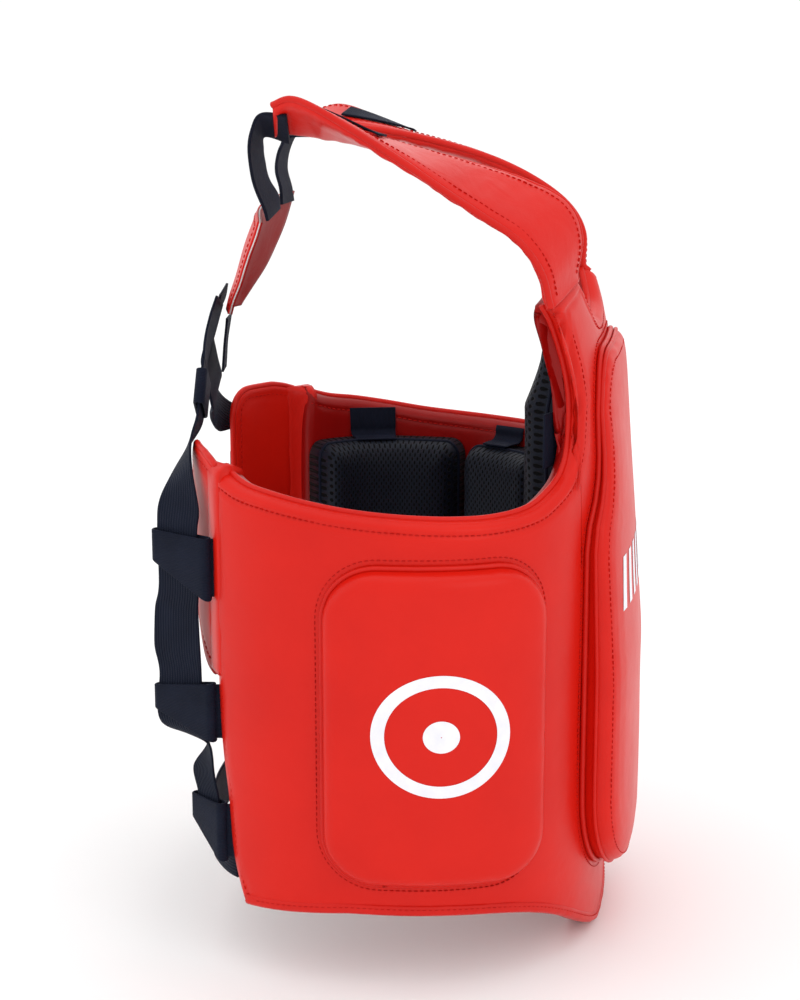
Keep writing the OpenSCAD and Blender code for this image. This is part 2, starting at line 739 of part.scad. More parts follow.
module side_cushion(s) {
    cushion_block(s, side_span[0], side_span[1], cushion_low, cushion_high, cushion_t);
}

module front_cushion(s) {
    cushion_block(s, front_span[0], front_span[1], cushion_low, cushion_high - 2, cushion_t);
}

module centre_cushion() {
    half = 62;
    top = 428;
    low = 190;
    color(near_black) about_torso() intersection() {
        leaning_band(cushion_face - cushion_t - 2, cushion_face, low, top);
        extrude_forwards(front_depth) translate([-half, low]) round_rect(2 * half, top - low, 18);
        // the cushion gets thinner towards its top
        extrude_sideways(half)
            polygon([[-front_depth, low], [-60, low], [-60, 372], [-108, 372], [-128, top], [-front_depth, top]]);
    }
}

// Elastic tapes that hold the cushions: from the rim down over the cushion's top.
module side_elastic(s, from, to, top) {
    tape = 1.4;
    color(near_black) about_torso() mirror([s > 0 ? 0 : 1, 0, 0]) {
        wall_band(-wall - tape - 0.2, -wall - 0.2, cushion_high + 4, top, from, to, 4);
        wall_band(cushion_face - 20, -wall - 0.2, cushion_high + gap, cushion_high + gap + tape,
            from, to, 4);
        wall_band(-wall - tape - 0.2, -wall - 0.2, cushion_high + gap, cushion_high + 5, from, to, 4);
    }
}

// Tape from the lining beside the chest cushion round its edge.
module centre_elastic(s) {
    low = 336;
    high = 376;
    tape = 1.4;
    near = 76;
    far = 92;
    color(near_black) about_torso() intersection() {
        leaning_band(-wall - tape - 0.2, -wall - 0.2, low, high);
        extrude_forwards(front_depth) translate([s > 0 ? near : -far, low]) square([far - near, high - low]);
    }
}

// ---- one line for each node ----

hem_band();
outer_skin();
foam_core();
lining();
rim_binding();
front_pad_foam();
front_pad_cover();
front_pad_piping();
front_pad_print();
side_pad_foam(-1);  // right_side_pad_foam
side_pad_cover(-1);  // right_side_pad_cover
side_pad_piping(-1);  // right_side_pad_piping
side_pad_print(-1);  // right_side_pad_print
side_pad_foam(1);  // left_side_pad_foam
side_pad_cover(1);  // left_side_pad_cover
side_pad_piping(1);  // left_side_pad_piping
side_pad_print(1);  // left_side_pad_print
wing(-1);  // right_wing
wing_binding(-1);  // right_wing_binding
wing(1);  // left_wing
wing_binding(1);  // left_wing_binding
webbing_loop(-1, 0);  // right_upper_loop
webbing_loop(-1, 1);  // right_middle_loop
webbing_loop(-1, 2);  // right_lower_loop
webbing_loop(1, 0);  // left_upper_loop
webbing_loop(1, 1);  // left_middle_loop
webbing_loop(1, 2);  // left_lower_loop
back_webbing(-1);  // right_back_webbing
back_webbing(1);  // left_back_webbing
lower_back_webbing();
shoulder_strap(-1);  // right_shoulder_strap
strap_piping(-1);  // right_strap_piping
hook_patch(-1);  // right_hook_patch
shoulder_strap(1);  // left_shoulder_strap
strap_piping(1);  // left_strap_piping
hook_patch(1);  // left_hook_patch
yoke_band(-1);  // right_yoke_band
yoke_band(1);  // left_yoke_band
back_patch();
back_patch_lining();
harness_webbing(-1);  // right_harness_webbing
harness_webbing(1);  // left_harness_webbing
harness_tail();
keeper(-1);  // right_keeper
centre_cushion();
front_cushion(-1);  // right_front_cushion
front_cushion(1);  // left_front_cushion
side_cushion(-1);  // right_side_cushion
side_cushion(1);  // left_side_cushion
side_elastic(-1, 96, 113, 311);  // right_rear_elastic
side_elastic(-1, 59, 70, 303);  // right_front_elastic
side_elastic(1, 96, 113, 311);  // left_rear_elastic
side_elastic(1, 59, 70, 303);  // left_front_elastic
centre_elastic(-1);  // right_centre_elastic
centre_elastic(1);  // left_centre_elastic
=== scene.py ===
"""Looks of the boxing trainer's body protector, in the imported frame.

Shapes are worked out in millimetres about the torso's centre line, with the side hem at z = 0, and are
moved into the row frame, in metres, when a mesh is made. Left is the wearer's left, which is +X.
"""
import math

import bmesh
import bpy
import numpy as np
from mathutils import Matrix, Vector, noise


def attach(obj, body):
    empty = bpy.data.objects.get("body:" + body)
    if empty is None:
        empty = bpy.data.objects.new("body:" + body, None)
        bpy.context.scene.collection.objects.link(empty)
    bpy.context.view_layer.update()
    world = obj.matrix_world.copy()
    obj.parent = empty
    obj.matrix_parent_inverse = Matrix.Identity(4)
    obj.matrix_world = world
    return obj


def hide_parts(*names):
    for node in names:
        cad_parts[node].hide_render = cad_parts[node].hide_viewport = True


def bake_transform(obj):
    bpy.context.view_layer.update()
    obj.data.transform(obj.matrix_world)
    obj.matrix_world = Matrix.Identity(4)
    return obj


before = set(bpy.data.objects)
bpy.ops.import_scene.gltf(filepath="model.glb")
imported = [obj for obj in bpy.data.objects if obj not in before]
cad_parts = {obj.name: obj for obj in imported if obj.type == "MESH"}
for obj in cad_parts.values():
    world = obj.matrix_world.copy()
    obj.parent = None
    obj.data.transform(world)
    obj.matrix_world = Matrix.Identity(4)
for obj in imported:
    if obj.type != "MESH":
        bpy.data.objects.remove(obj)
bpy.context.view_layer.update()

# ---------------------------------------------------------------- sizes, in millimetres
MM = 0.001
HALF_WIDTH = 188.0
FRONT_DEPTH = 172.0
REAR_DEPTH = 143.0
SQUARENESS = 2.6
CENTRE_Y = 20.0
BELLY_DROP = 46.0
BELLY_SPAN = 188.0
BELLY_FLAT = 18.0
SIDE_RISE = 15.0
REAR_RISE = 8.0
WALL = 22.0
HEM_H = 9.0
ARMHOLE_Z = 312.0
REAR_RIM_Z = 340.0
CHEST_BEND_Z = 390.0
CHEST_SLOPE = math.tan(math.radians(13))
LEFT_DROP = 12.0
PAD_THICK = 26.0
PAD_BEND_Z = 177.0
PAD_SLOPE = math.tan(math.radians(4.5))
WING_TOP = REAR_RIM_Z + 5
WING_FLARE = {1: 14.0, -1: 3.0}
SEAM_ANGLE = 133.0
HEM_END_ANGLE = 118.0
WING_ANGLE = 160.0
WEBBING_W = 38.0
WEBBING_T = 1.6
STITCH_INSET = 9.0
RIM_CORD = 2.4
PAD_CORD = 2.2
GUSSET_CORD = 1.7
STRAP_CORD = 2.6
CUSHION_CORD = 1.5
PAD_BASE = 0.2
PAD_STITCHES = 7.0
GUSSET_Z = 11.8
WING_MIDDLE = -6.0
WING_HALF_T = 3.0
TARGET_RING = (37, 39, 41.5, 44, 46)
TARGET_DOT = (0.4, 3, 6, 9, 12)
TARGET_LIFT = 0.45
SIDES = {"right": -1, "left": 1}
CAMERA_PLACE = (-1.7415, -0.2645, 0.7789)
CAMERA_AIM = (0.0, 0.0113, 0.3278)
CAMERA_LENS = 83.9


# ---------------------------------------------------------------- the oval wall
def oval(off, angle):
    """Point of the wall face `off` outside the skin, at an angle in degrees from the front."""
    sine = np.sin(np.radians(angle))
    cosine = np.cos(np.radians(angle))
    depth = np.where(cosine > 0, FRONT_DEPTH, REAR_DEPTH) + off
    power = 2 / SQUARENESS
    x = (HALF_WIDTH + off) * np.sign(sine) * np.abs(sine) ** power
    y = -depth * np.sign(cosine) * np.abs(cosine) ** power
    return x, y


ANGLES = np.linspace(-175, 175, 2801)
OVAL_X, OVAL_Y = oval(0, ANGLES)
STEPS = np.hypot(np.diff(OVAL_X), np.diff(OVAL_Y))
ARC = np.concatenate([[0], np.cumsum(STEPS)])
ARC = ARC - ARC[-1] / 2
HALF = len(ANGLES) // 2


def s_at_angle(angle):
    """Length along the skin from the front's middle to an angle."""
    return np.interp(angle, ANGLES, ARC)


def s_at_x(x):
    """Length along the skin to where its front half has this x."""
    front = np.abs(ANGLES) <= 90
    return np.interp(x, OVAL_X[front], ARC[front])


def s_at_y(y):
    """Length along the skin, on the left side, to where it has this y."""
    return np.interp(y, OVAL_Y[HALF:], ARC[HALF:])


def soft_rise(z, start, reach=14.0):
    """How far z is above `start`, with a smooth beginning."""
    return np.where(z > start + reach, z - start, np.clip(z - start + reach, 0, None) ** 2 / (4 * reach))


def lean_back(y, z):
    """How far the chest panel has leaned back at a height."""
    return CHEST_SLOPE * soft_rise(z, CHEST_BEND_Z) * np.clip((-y - 60) / 50, 0, 1)


def on_wall(s, z, off):
    """Points, as an array of x, y and z, at a length along the skin, a height and an offset."""
    x, y = oval(off, np.interp(s, ARC, ANGLES))
    return np.stack(np.broadcast_arrays(x, y + lean_back(y, np.asarray(z, float)), z), axis=-1)


def hem_z(s):
    """Height of the hem line at a length along the skin. It hangs down over the belly."""
    x, y = oval(0, np.interp(s, ARC, ANGLES))
    share = np.clip((np.abs(x) - BELLY_FLAT) / (BELLY_SPAN - BELLY_FLAT), 0, 1)
    front = -BELLY_DROP + (BELLY_DROP + SIDE_RISE) * (1 - np.cos(np.pi * share)) / 2
    rear = SIDE_RISE + (REAR_RISE - SIDE_RISE) * np.clip(y / 100, 0, 1)
    return np.where(y < 0, front, rear)


# ---------------------------------------------------------------- curves
def spline(points, count):
    """`count` evenly spaced points on a smooth curve through the given ones."""
    p = np.asarray(points, float)
    first = 2 * p[0] - p[1]
    last = 2 * p[-1] - p[-2]
    q = np.vstack([first, p, last])
    t = np.linspace(0, 1, 17)[:-1, None]
    parts = []
    for i in range(len(p) - 1):
        a, b, c, d = q[i:i + 4]
        parts.append(0.5 * (2 * b + (c - a) * t + (2 * a - 5 * b + 4 * c - d) * t ** 2
                            + (3 * b - a - 3 * c + d) * t ** 3))
    line = np.vstack(parts + [p[-1:]])
    return resample(line, count)


def resample(line, count):
    """`count` evenly spaced points on a polyline."""
    lengths = np.concatenate([[0], np.cumsum(np.linalg.norm(np.diff(line, axis=0), axis=1))])
    at = np.linspace(0, lengths[-1], count)
    return np.stack([np.interp(at, lengths, line[:, k]) for k in range(line.shape[1])], axis=1)


def paired(edge_a, edge_b, count):
    """Two edges of a ribbon, resampled together so that matching stations stay opposite."""
    both = np.hstack([np.asarray(edge_a, float), np.asarray(edge_b, float)])
    line = spline(both, count)
    return line[:, :3], line[:, 3:]


def line_length(line):
    return float(np.linalg.norm(np.diff(line, axis=0), axis=1).sum())


def unit(v):
    return v / np.maximum(np.linalg.norm(v, axis=-1, keepdims=True), 1e-9)


def distance_to_line(points, line):
    """Distance of 2-D points to a polyline."""
    best = np.full(len(points), 1e9)
    for a, b in zip(line[:-1], line[1:]):
        d = b - a
        t = np.clip(((points - a) @ d) / max(float(d @ d), 1e-9), 0, 1)
        best = np.minimum(best, np.linalg.norm(points - a - t[:, None] * d, axis=1))
    return best


def ripple(points, size, seed=0.0):
    """Smooth noise from -1 to 1 at 3-D points, with features of about `size` millimetres."""
    shift = Vector((seed, 2 * seed, -seed))
    return np.array([noise.noise(Vector(p) / size + shift) for p in points])


# ---------------------------------------------------------------- meshes
def placed(points):
    """Places in the row frame, in metres, of torso-centred millimetres."""
    return (np.asarray(points, float) + [0, CENTRE_Y, BELLY_DROP]) * MM


def add_object(name, data):
    obj = bpy.data.objects.new(name, data)
    bpy.context.scene.collection.objects.link(obj)
    return obj


def make(name, points, faces, material, body, uvs=None, nodes=()):
    """A mesh object from torso-centred millimetres. `uvs` holds one pair, in metres, for each vertex.
    `body` is None for a piece that runs between two bodies; it is then attached to neither."""
    mesh = bpy.data.meshes.new(name)
    mesh.from_pydata(placed(points).tolist(), [], [tuple(int(i) for i in f) for f in faces])
    mesh.update()
    mesh.polygons.foreach_set("use_smooth", [True] * len(mesh.polygons))
    if uvs is not None:
        layer = mesh.uv_layers.new(name="UVMap")
        corners = np.zeros(len(mesh.loops), dtype=np.int64)
        mesh.loops.foreach_get("vertex_index", corners)
        layer.data.foreach_set("uv", np.asarray(uvs, float)[corners].ravel())
    mesh.materials.append(material)
    obj = add_object(name, mesh)
    if body is not None:
        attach(obj, body)
    if nodes:
        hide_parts(*nodes)
    return obj


def grid_faces(rows, columns, base=0, around=False, flip=False):
    """Quads of a grid of points stored row by row. `around` closes each row into a ring."""
    faces = []
    last = columns if around else columns - 1
    for i in range(rows - 1):
        for j in range(last):
            k = (j + 1) % columns
            a = base + i * columns + j
            b = base + i * columns + k
            face = (a, b, b + columns, a + columns)
            faces.append(face[::-1] if flip else face)
    return faces


def fan_faces(rings, columns, flip=False):
    """Faces of closed rings that narrow down to one last point in their middle."""
    faces = grid_faces(rings, columns, around=True, flip=flip)
    last = (rings - 1) * columns
    for j in range(columns):
        face = (last + j, last + (j + 1) % columns, rings * columns)
        faces.append(face[::-1] if flip else face)
    return faces


def end_faces(rows, columns, flip=False):
    """Faces that close both ends of a grid whose rows are rings."""
    first = tuple(range(columns))
    last = tuple((rows - 1) * columns + j for j in range(columns))
    return [first, last[::-1]] if flip else [first[::-1], last]


def border(rows, columns):
    """Indexes of a grid's outermost points, in order round it."""
    ring = list(range(columns))
    ring += [i * columns + columns - 1 for i in range(1, rows)]
    ring += [(rows - 1) * columns + j for j in range(columns - 2, -1, -1)]
    return ring + [i * columns for i in range(rows - 2, 0, -1)]


def closed_line(outline, extra=1):
    """A closed outline with its first points repeated at its end."""
    return np.vstack([outline, outline[:extra]])


def with_zero(flat):
    """2-D points with a third coordinate of nought, for the noise."""
    return np.column_stack([flat, np.zeros(len(flat))])


def tidy_normals(obj):
    """Makes all faces look outwards and joins points that lie together."""
    mesh = bmesh.new()
    mesh.from_mesh(obj.data)
    bmesh.ops.remove_doubles(mesh, verts=mesh.verts, dist=0.00002)
    bmesh.ops.recalc_face_normals(mesh, faces=mesh.faces)
    mesh.to_mesh(obj.data)
    mesh.free()


class Batch:
    """Collects several meshes into one."""

    def __init__(self):
        self.points = []
        self.faces = []
        self.uvs = []

    def add(self, points, faces, uvs=None):
        base = len(self.points)
        self.points.extend(np.asarray(points, float).tolist())
        self.faces.extend(tuple(base + int(i) for i in f) for f in faces)
        if uvs is None:
            uvs = np.zeros((len(points), 2))
        self.uvs.extend(np.asarray(uvs, float).tolist())

    def make(self, name, material, body, slot, nodes=(), fill=None):
        return make(name, self.points, self.faces, material, body, self.uvs, nodes)


def tube(batch, path, radius, sides=10, ups=None):
    """A round cord along a path of points."""
    path = np.asarray(path, float)
    along = unit(np.gradient(path, axis=0))
    if ups is None:
        ups = np.tile([0.3, 0.2, 1.0], (len(path), 1))
    side = unit(np.cross(along, ups))
    up = np.cross(side, along)
    turn = np.linspace(0, 2 * np.pi, sides, endpoint=False)
    ring = radius * (np.cos(turn)[None, :, None] * side[:, None] + np.sin(turn)[None, :, None] * up[:, None])
    points = (path[:, None] + ring).reshape(-1, 3)
    faces = grid_faces(len(path), sides, around=True)
    batch.add(points, faces + end_faces(len(path), sides))


def stitches(batch, path, ups, pitch=4.4, length=3.0, width=0.9, height=0.55):
    """A row of short raised threads along a path. `ups` are the surface's normals."""
    path = np.asarray(path, float)
    ups = np.asarray(ups, float)
    both = np.hstack([path, ups])
    count = max(int(line_length(path) / pitch), 2)
    lengths = np.concatenate([[0], np.cumsum(np.linalg.norm(np.diff(path, axis=0), axis=1))])
    at = (np.arange(count) + 0.5) * lengths[-1] / count
    both = np.stack([np.interp(at, lengths, both[:, k]) for k in range(6)], axis=1)
    along = unit(np.gradient(both[:, :3], axis=0))
    for place, normal, forward in zip(both[:, :3], unit(both[:, 3:]), along):
        side = np.cross(normal, forward)
        ends = []
        for share, thin in ((-0.5, 0.25), (-0.3, 1), (0.3, 1), (0.5, 0.25)):
            middle = place + forward * share * length
            low = -0.3 * normal if thin == 1 else -0.5 * normal
            ends += [middle + side * width / 2 * thin + low,
                     middle + side * width / 4 * thin + normal * height * thin,
                     middle - side * width / 4 * thin + normal * height * thin,
                     middle - side * width / 2 * thin + low]
        batch.add(ends, grid_faces(4, 4, around=True) + [(3, 2, 1, 0), (12, 13, 14, 15)])


def ribbon_frame(edge_a, edge_b):
    """Middle line, crosswise and upward directions, and width of a ribbon."""
    middle = (edge_a + edge_b) / 2
    across = unit(edge_b - edge_a)
    width = np.linalg.norm(edge_b - edge_a, axis=1)
    along = unit(np.gradient(middle, axis=0))
    up = unit(np.cross(along, across))
    return middle, across, up, width


def sweep(batch, edge_a, edge_b, section, relief=None):
    """A strap between two edges. `section(width)` gives its outline as across and height pairs, and
    `relief(travel, across, height)` what the surface adds to that height."""
    middle, across, up, width = ribbon_frame(edge_a, edge_b)
    travel = np.concatenate([[0], np.cumsum(np.linalg.norm(np.diff(middle, axis=0), axis=1))])
    points = []
    uvs = []
    columns = 0
    for i in range(len(middle)):
        outline = section(width[i])
        columns = len(outline)
        for q, h in outline:
            extra = relief(travel[i], q, h) if relief else 0
            points.append(middle[i] + across[i] * q + up[i] * (h + extra))
            uvs.append((q * MM, travel[i] * MM))
    faces = grid_faces(len(middle), columns, around=True)
    batch.add(points, faces + end_faces(len(middle), columns), uvs)
    return middle, across, up, width


def tape(name, edges, count, section, material, body, slot, nodes, relief=None):
    """A strap or tape between two edges, as a piece of its own."""
    batch = Batch()
    sweep(batch, *paired(*edges, count), section, relief)
    obj = batch.make(name, material, body, slot, nodes)
    tidy_normals(obj)
    return obj


def flat_section(thick, ridge=0.0):
    """Outline of webbing: thin, with rounded edges and a slightly raised selvedge."""
    def outline(width):
        h = thick / 2
        w = width / 2
        top = [(-w, 0.35 * h), (-w + 0.4, h + ridge), (-w + 2.2, h + ridge), (-w + 3, h),
               (-w / 3, h), (w / 3, h), (w - 3, h), (w - 2.2, h + ridge), (w - 0.4, h + ridge), (w, 0.35 * h)]
        return top + [(q, -z) for q, z in reversed(top)]
    return outline


def padded_section(thick, power=3.2, count=18):
    """Outline of a padded strap: flat in the middle and round at its edges."""
    turn = np.linspace(0, 2 * np.pi, 2 * count, endpoint=False) + np.pi / (2 * count)

    def outline(width):
        w = width / 2
        c = np.cos(turn)
        s = np.sin(turn)
        q = -w * np.sign(c) * np.abs(c) ** (2 / 6)
        h = thick / 2 * np.sign(s) * np.abs(s) ** (2 / power)
        return list(zip(q, h))
    return outline


# ---------------------------------------------------------------- materials
def node_material(name):
    material = bpy.data.materials.new(name)
    material.use_nodes = True
    tree = material.node_tree
    shader = tree.nodes["Principled BSDF"]
    coords = tree.nodes.new("ShaderNodeTexCoord")
    return material, tree, shader, coords


def set_inputs(node, **values):
    for key, value in values.items():
        node.inputs[key.replace("_", " ")].default_value = value


def add_node(tree, kind, **inputs):
    node = tree.nodes.new(kind)
    set_inputs(node, **inputs)
    return node


def texture(tree, coords, kind, **inputs):
    """A texture in the object's own coordinates."""
    node = add_node(tree, "ShaderNodeTex" + kind, **inputs)
    tree.links.new(coords.outputs["Object"], node.inputs["Vector"])
    return node


def calculate(tree, operation, *sources):
    """Output of a maths node whose inputs are numbers or the outputs of other nodes."""
    node = tree.nodes.new("ShaderNodeMath")
    node.operation = operation
    for source, socket in zip(sources, node.inputs):
        if isinstance(source, (int, float)):
            socket.default_value = source
        else:
            tree.links.new(source, socket)
    return node.outputs[0]


def colour_mix(tree, shader, factor, dark, light):
    ramp = tree.nodes.new("ShaderNodeValToRGB")
    ramp.color_ramp.elements[0].color = (*dark, 1)
    ramp.color_ramp.elements[1].color = (*light, 1)
    ramp.color_ramp.elements[0].position = 0.3
    ramp.color_ramp.elements[1].position = 0.7
    tree.links.new(factor, ramp.inputs["Fac"])
    tree.links.new(ramp.outputs["Color"], shader.inputs["Base Color"])
    return ramp


def range_to(tree, factor, low, high, socket):
    """Drives a socket with a factor spread between two values."""
    spread = add_node(tree, "ShaderNodeMapRange", To_Min=low, To_Max=high)
    tree.links.new(factor, spread.inputs["Value"])
    tree.links.new(spread.outputs["Result"], socket)


def bump_chain(tree, shader, layers):
    """Bumps stacked on each other. Each layer is a height socket, a strength and a distance in metres."""
    normal = None
    for height, strength, distance in layers:
        bump = add_node(tree, "ShaderNodeBump", Strength=strength, Distance=distance)
        tree.links.new(height, bump.inputs["Height"])
        if normal is not None:
            tree.links.new(normal, bump.inputs["Normal"])
        normal = bump.outputs["Normal"]
    tree.links.new(normal, shader.inputs["Normal"])


def leather(name, dark, light, roughness, crease=0.35):
    """Coated synthetic leather with a fine grain, soft creases and uneven polish."""
    material, tree, shader, coords = node_material(name)
    patches = texture(tree, coords, "Noise", Scale=9.0, Detail=4.0, Roughness=0.6)
    grain = texture(tree, coords, "Voronoi", Scale=1100.0)
    grain.feature = "SMOOTH_F1"
    pores = texture(tree, coords, "Noise", Scale=650.0, Detail=3.0)
    folds = texture(tree, coords, "Noise", Scale=38.0, Detail=3.0, Roughness=0.45, Distortion=0.6)
    polish = texture(tree, coords, "Noise", Scale=26.0, Detail=5.0, Roughness=0.65)
    colour_mix(tree, shader, patches.outputs["Fac"], dark, light)
    range_to(tree, polish.outputs["Fac"], roughness - 0.07, roughness + 0.09, shader.inputs["Roughness"])
    bump_chain(tree, shader, [(folds.outputs["Fac"], crease, 0.0022), (pores.outputs["Fac"], 0.16, 0.0002),
                              (grain.outputs["Distance"], 0.22, 0.00022)])
    set_inputs(shader, Specular_IOR_Level=0.2, Coat_Weight=0.04, Coat_Roughness=0.26)
    return material


def woven(name, dark, light, across, along, sheen, depth=0.0005):
    """Webbing or elastic: ribs across and along the tape, from its own length and width."""
    material, tree, shader, coords = node_material(name)
    split = tree.nodes.new("ShaderNodeSeparateXYZ")
    tree.links.new(coords.outputs["UV"], split.inputs["Vector"])
    waves = []
    for axis, pitch in (("X", across), ("Y", along)):
        turn = calculate(tree, "MULTIPLY", split.outputs[axis], 2 * math.pi / (pitch * MM))
        waves.append(calculate(tree, "SINE", turn))
    cross = calculate(tree, "MULTIPLY", *waves)
    fuzz = texture(tree, coords, "Noise", Scale=900.0, Detail=2.0)
    wear = texture(tree, coords, "Noise", Scale=45.0, Detail=4.0)
    colour_mix(tree, shader, wear.outputs["Fac"], dark, light)
    range_to(tree, cross, 0.62, 0.8, shader.inputs["Roughness"])
    bump_chain(tree, shader, [(waves[0], 0.6, depth), (cross, 0.5, depth * 0.6),
                              (fuzz.outputs["Fac"], 0.25, 0.0002)])
    set_inputs(shader, Specular_IOR_Level=0.12, Sheen_Weight=sheen, Sheen_Roughness=0.5,
               Sheen_Tint=(0.25, 0.3, 0.55, 1))
    return material


def air_mesh(name, dark, light, pitch=3.4):
    """Spacer mesh: staggered round holes between shiny yarns, over dark foam."""
    material, tree, shader, coords = node_material(name)
    scale = add_node(tree, "ShaderNodeVectorMath")
    scale.operation = "MULTIPLY"
    scale.inputs[1].default_value = (1 / (pitch * MM), 1 / (pitch * 0.87 * MM), 1)
    tree.links.new(coords.outputs["UV"], scale.inputs[0])
    split = tree.nodes.new("ShaderNodeSeparateXYZ")
    tree.links.new(scale.outputs[0], split.inputs["Vector"])
    waves = []
    for share_x, share_y in ((1, 0), (0.5, 1), (0.5, -1)):
        turn_x = calculate(tree, "MULTIPLY", split.outputs["X"], share_x * 2 * math.pi)
        turn = calculate(tree, "MULTIPLY_ADD", split.outputs["Y"], share_y * math.pi, turn_x)
        waves.append(calculate(tree, "COSINE", turn))
    total = calculate(tree, "ADD", waves[0], waves[1])
    holes = calculate(tree, "ADD", total, waves[2])
    yarn = add_node(tree, "ShaderNodeMapRange", From_Min=1.4, From_Max=0.2)
    tree.links.new(holes, yarn.inputs["Value"])
    fuzz = texture(tree, coords, "Noise", Scale=800.0, Detail=2.0)
    ramp = colour_mix(tree, shader, yarn.outputs["Result"], dark, light)
    ramp.color_ramp.elements[0].position = 0.1
    ramp.color_ramp.elements[1].position = 0.9
    range_to(tree, yarn.outputs["Result"], 0.9, 0.5, shader.inputs["Roughness"])
    bump_chain(tree, shader, [(yarn.outputs["Result"], 0.9, 0.0011), (fuzz.outputs["Fac"], 0.3, 0.0002)])
    set_inputs(shader, Specular_IOR_Level=0.15, Sheen_Weight=0.02, Sheen_Roughness=0.4)
    return material


def hook_tape(name, dark, light):
    """Hook-and-loop tape: a dense, matt pile."""
    material, tree, shader, coords = node_material(name)
    pile = texture(tree, coords, "Voronoi", Scale=900.0)
    tufts = texture(tree, coords, "Noise", Scale=160.0, Detail=4.0)
    colour_mix(tree, shader, tufts.outputs["Fac"], dark, light)
    range_to(tree, tufts.outputs["Fac"], 0.65, 0.85, shader.inputs["Roughness"])
    bump_chain(tree, shader, [(tufts.outputs["Fac"], 0.3, 0.0005), (pile.outputs["Distance"], 0.6, 0.0004)])
    set_inputs(shader, Specular_IOR_Level=0.12, Sheen_Weight=0.06, Sheen_Roughness=0.45,
               Sheen_Tint=(0.3, 0.35, 0.6, 1))
    return material


def print_film(name, dark, light):
    """Printed film on leather: nearly flat, with a trace of the grain and of wear."""
    material, tree, shader, coords = node_material(name)
    wear = texture(tree, coords, "Noise", Scale=60.0, Detail=6.0, Roughness=0.7)
    grain = texture(tree, coords, "Noise", Scale=700.0, Detail=2.0)
    colour_mix(tree, shader, wear.outputs["Fac"], dark, light)
    range_to(tree, wear.outputs["Fac"], 0.35, 0.5, shader.inputs["Roughness"])
    bump_chain(tree, shader, [(grain.outputs["Fac"], 0.15, 0.0002)])
    return material


RED = leather("red_coated_leather", (0.60, 0.007, 0.002), (0.67, 0.010, 0.003), 0.38, crease=0.22)
STRAP_RED = leather("red_strap_leather", (0.60, 0.008, 0.004), (0.67, 0.012, 0.006), 0.38, crease=0.45)
# The lining's darker red is partly the lining's own tone and partly painted shade for the inside of the shell
# and the underside of the back patch.
LINING_WITH_PAINTED_SHADE = leather("red_lining_leather_painted_shade", (0.27, 0.002, 0.001), (0.34, 0.003, 0.002), 0.38, crease=0.35)
BINDING = leather("red_binding_leather", (0.55, 0.007, 0.003), (0.64, 0.010, 0.004), 0.40, crease=0.5)
THREAD = woven("red_thread", (0.44, 0.006, 0.003), (0.54, 0.008, 0.004), 0.5, 0.7, 0.02, 0.0001)
WEBBING = woven("navy_ribbed_webbing", (0.0025, 0.0045, 0.013), (0.005, 0.008, 0.02), 2.4, 1.5, 0.05)
ELASTIC = woven("navy_elastic_tape", (0.003, 0.005, 0.014), (0.006, 0.009, 0.022), 1.2, 0.9, 0.05, 0.0003)
HOOK = hook_tape("black_hook_and_loop", (0.003, 0.004, 0.011), (0.007, 0.009, 0.02))
MESH = air_mesh("black_air_mesh", (0.0005, 0.0007, 0.0015), (0.006, 0.009, 0.018))
PRINT = print_film("white_print", (0.80, 0.80, 0.86), (0.90, 0.90, 0.95))
RAW_EDGE = print_film("white_raw_edge", (0.62, 0.50, 0.50), (0.85, 0.78, 0.78))


# ---------------------------------------------------------------- padded wall
def joined(left, right):
    """A full line from its left half and its right half, both drawn on the left and ending at the middle."""
    other = right[::-1].copy()
    other[:, 0] *= -1
    return np.vstack([left, other[1:]])


def rim_lines(drop):
    """Rim, strap seam and neckline of one half, drawn on the left from the rear seam round, as s and z."""
    side = [(104, 26), (94, 21), (82, 17), (62, 14), (36, 10), (0, 5), (-37, 2), (-80, 0), (-108, 0),
            (-130, 3)]
    rim = [(s_at_angle(SEAM_ANGLE - 2), REAR_RIM_Z)] + [(s_at_y(y), ARMHOLE_Z + z) for y, z in side]
    chest = [(131, 322), (114, 333.5), (105, 349), (102, 370), (101, 395), (101, 417), (106, 442 - drop),
             (113, 456 - drop)]
    rim += [(s_at_x(x), z) for x, z in chest]
    seam = [(113, 456 - drop), (87, 464 - drop), (60, 470 - drop)]
    neck = [(60, 470 - drop), (50, 460 - drop), (38, 445 - drop / 2), (22, 435), (0, 432)]
    return (spline(rim, 120), spline([(s_at_x(x), z) for x, z in seam], 16),
            spline([(s_at_x(x), z) for x, z in neck], 18))


# angle and height of the wall's rear edge, from the hem up
REAR_EDGE = [(HEM_END_ANGLE, 0), (122, 18), (126, 48), (128, 88), (131.4, 135), (SEAM_ANGLE, 195),
             (SEAM_ANGLE, 300), (SEAM_ANGLE - 2, REAR_RIM_Z)]
TRIM_LINES = {1: rim_lines(LEFT_DROP), -1: rim_lines(0.0)}
LEFT_TOP, RIGHT_TOP = (np.vstack([rim, seam[1:], neck[1:]]) for rim, seam, neck in TRIM_LINES.values())
TOP = joined(LEFT_TOP, RIGHT_TOP)
REAR = spline([(s_at_angle(a), z) for a, z in REAR_EDGE], 60)


def hem_line(count):
    """The wall's lower edge on the left, paired with the upper edge's points."""
    shares = np.linspace(0, 1, count)
    s = s_at_angle(HEM_END_ANGLE) * (1 - shares)
    return np.stack([s, hem_z(s)], axis=1)


def bottom_for_top():
    """Hem points under each point of the upper edge, so that the grid fans out below the chest edge."""
    rear_s = s_at_angle(HEM_END_ANGLE)
    chest_s = s_at_x(78)
    neck_s = s_at_x(40)
    rim, seam, neck = TRIM_LINES[1]
    parts = [np.linspace(rear_s, chest_s, len(rim)), np.linspace(chest_s, neck_s, len(seam))[1:],
             np.linspace(neck_s, 0, len(neck))[1:]]
    s = np.concatenate(parts)
    half = np.stack([s, hem_z(s)], axis=1)
    return joined(half, half)


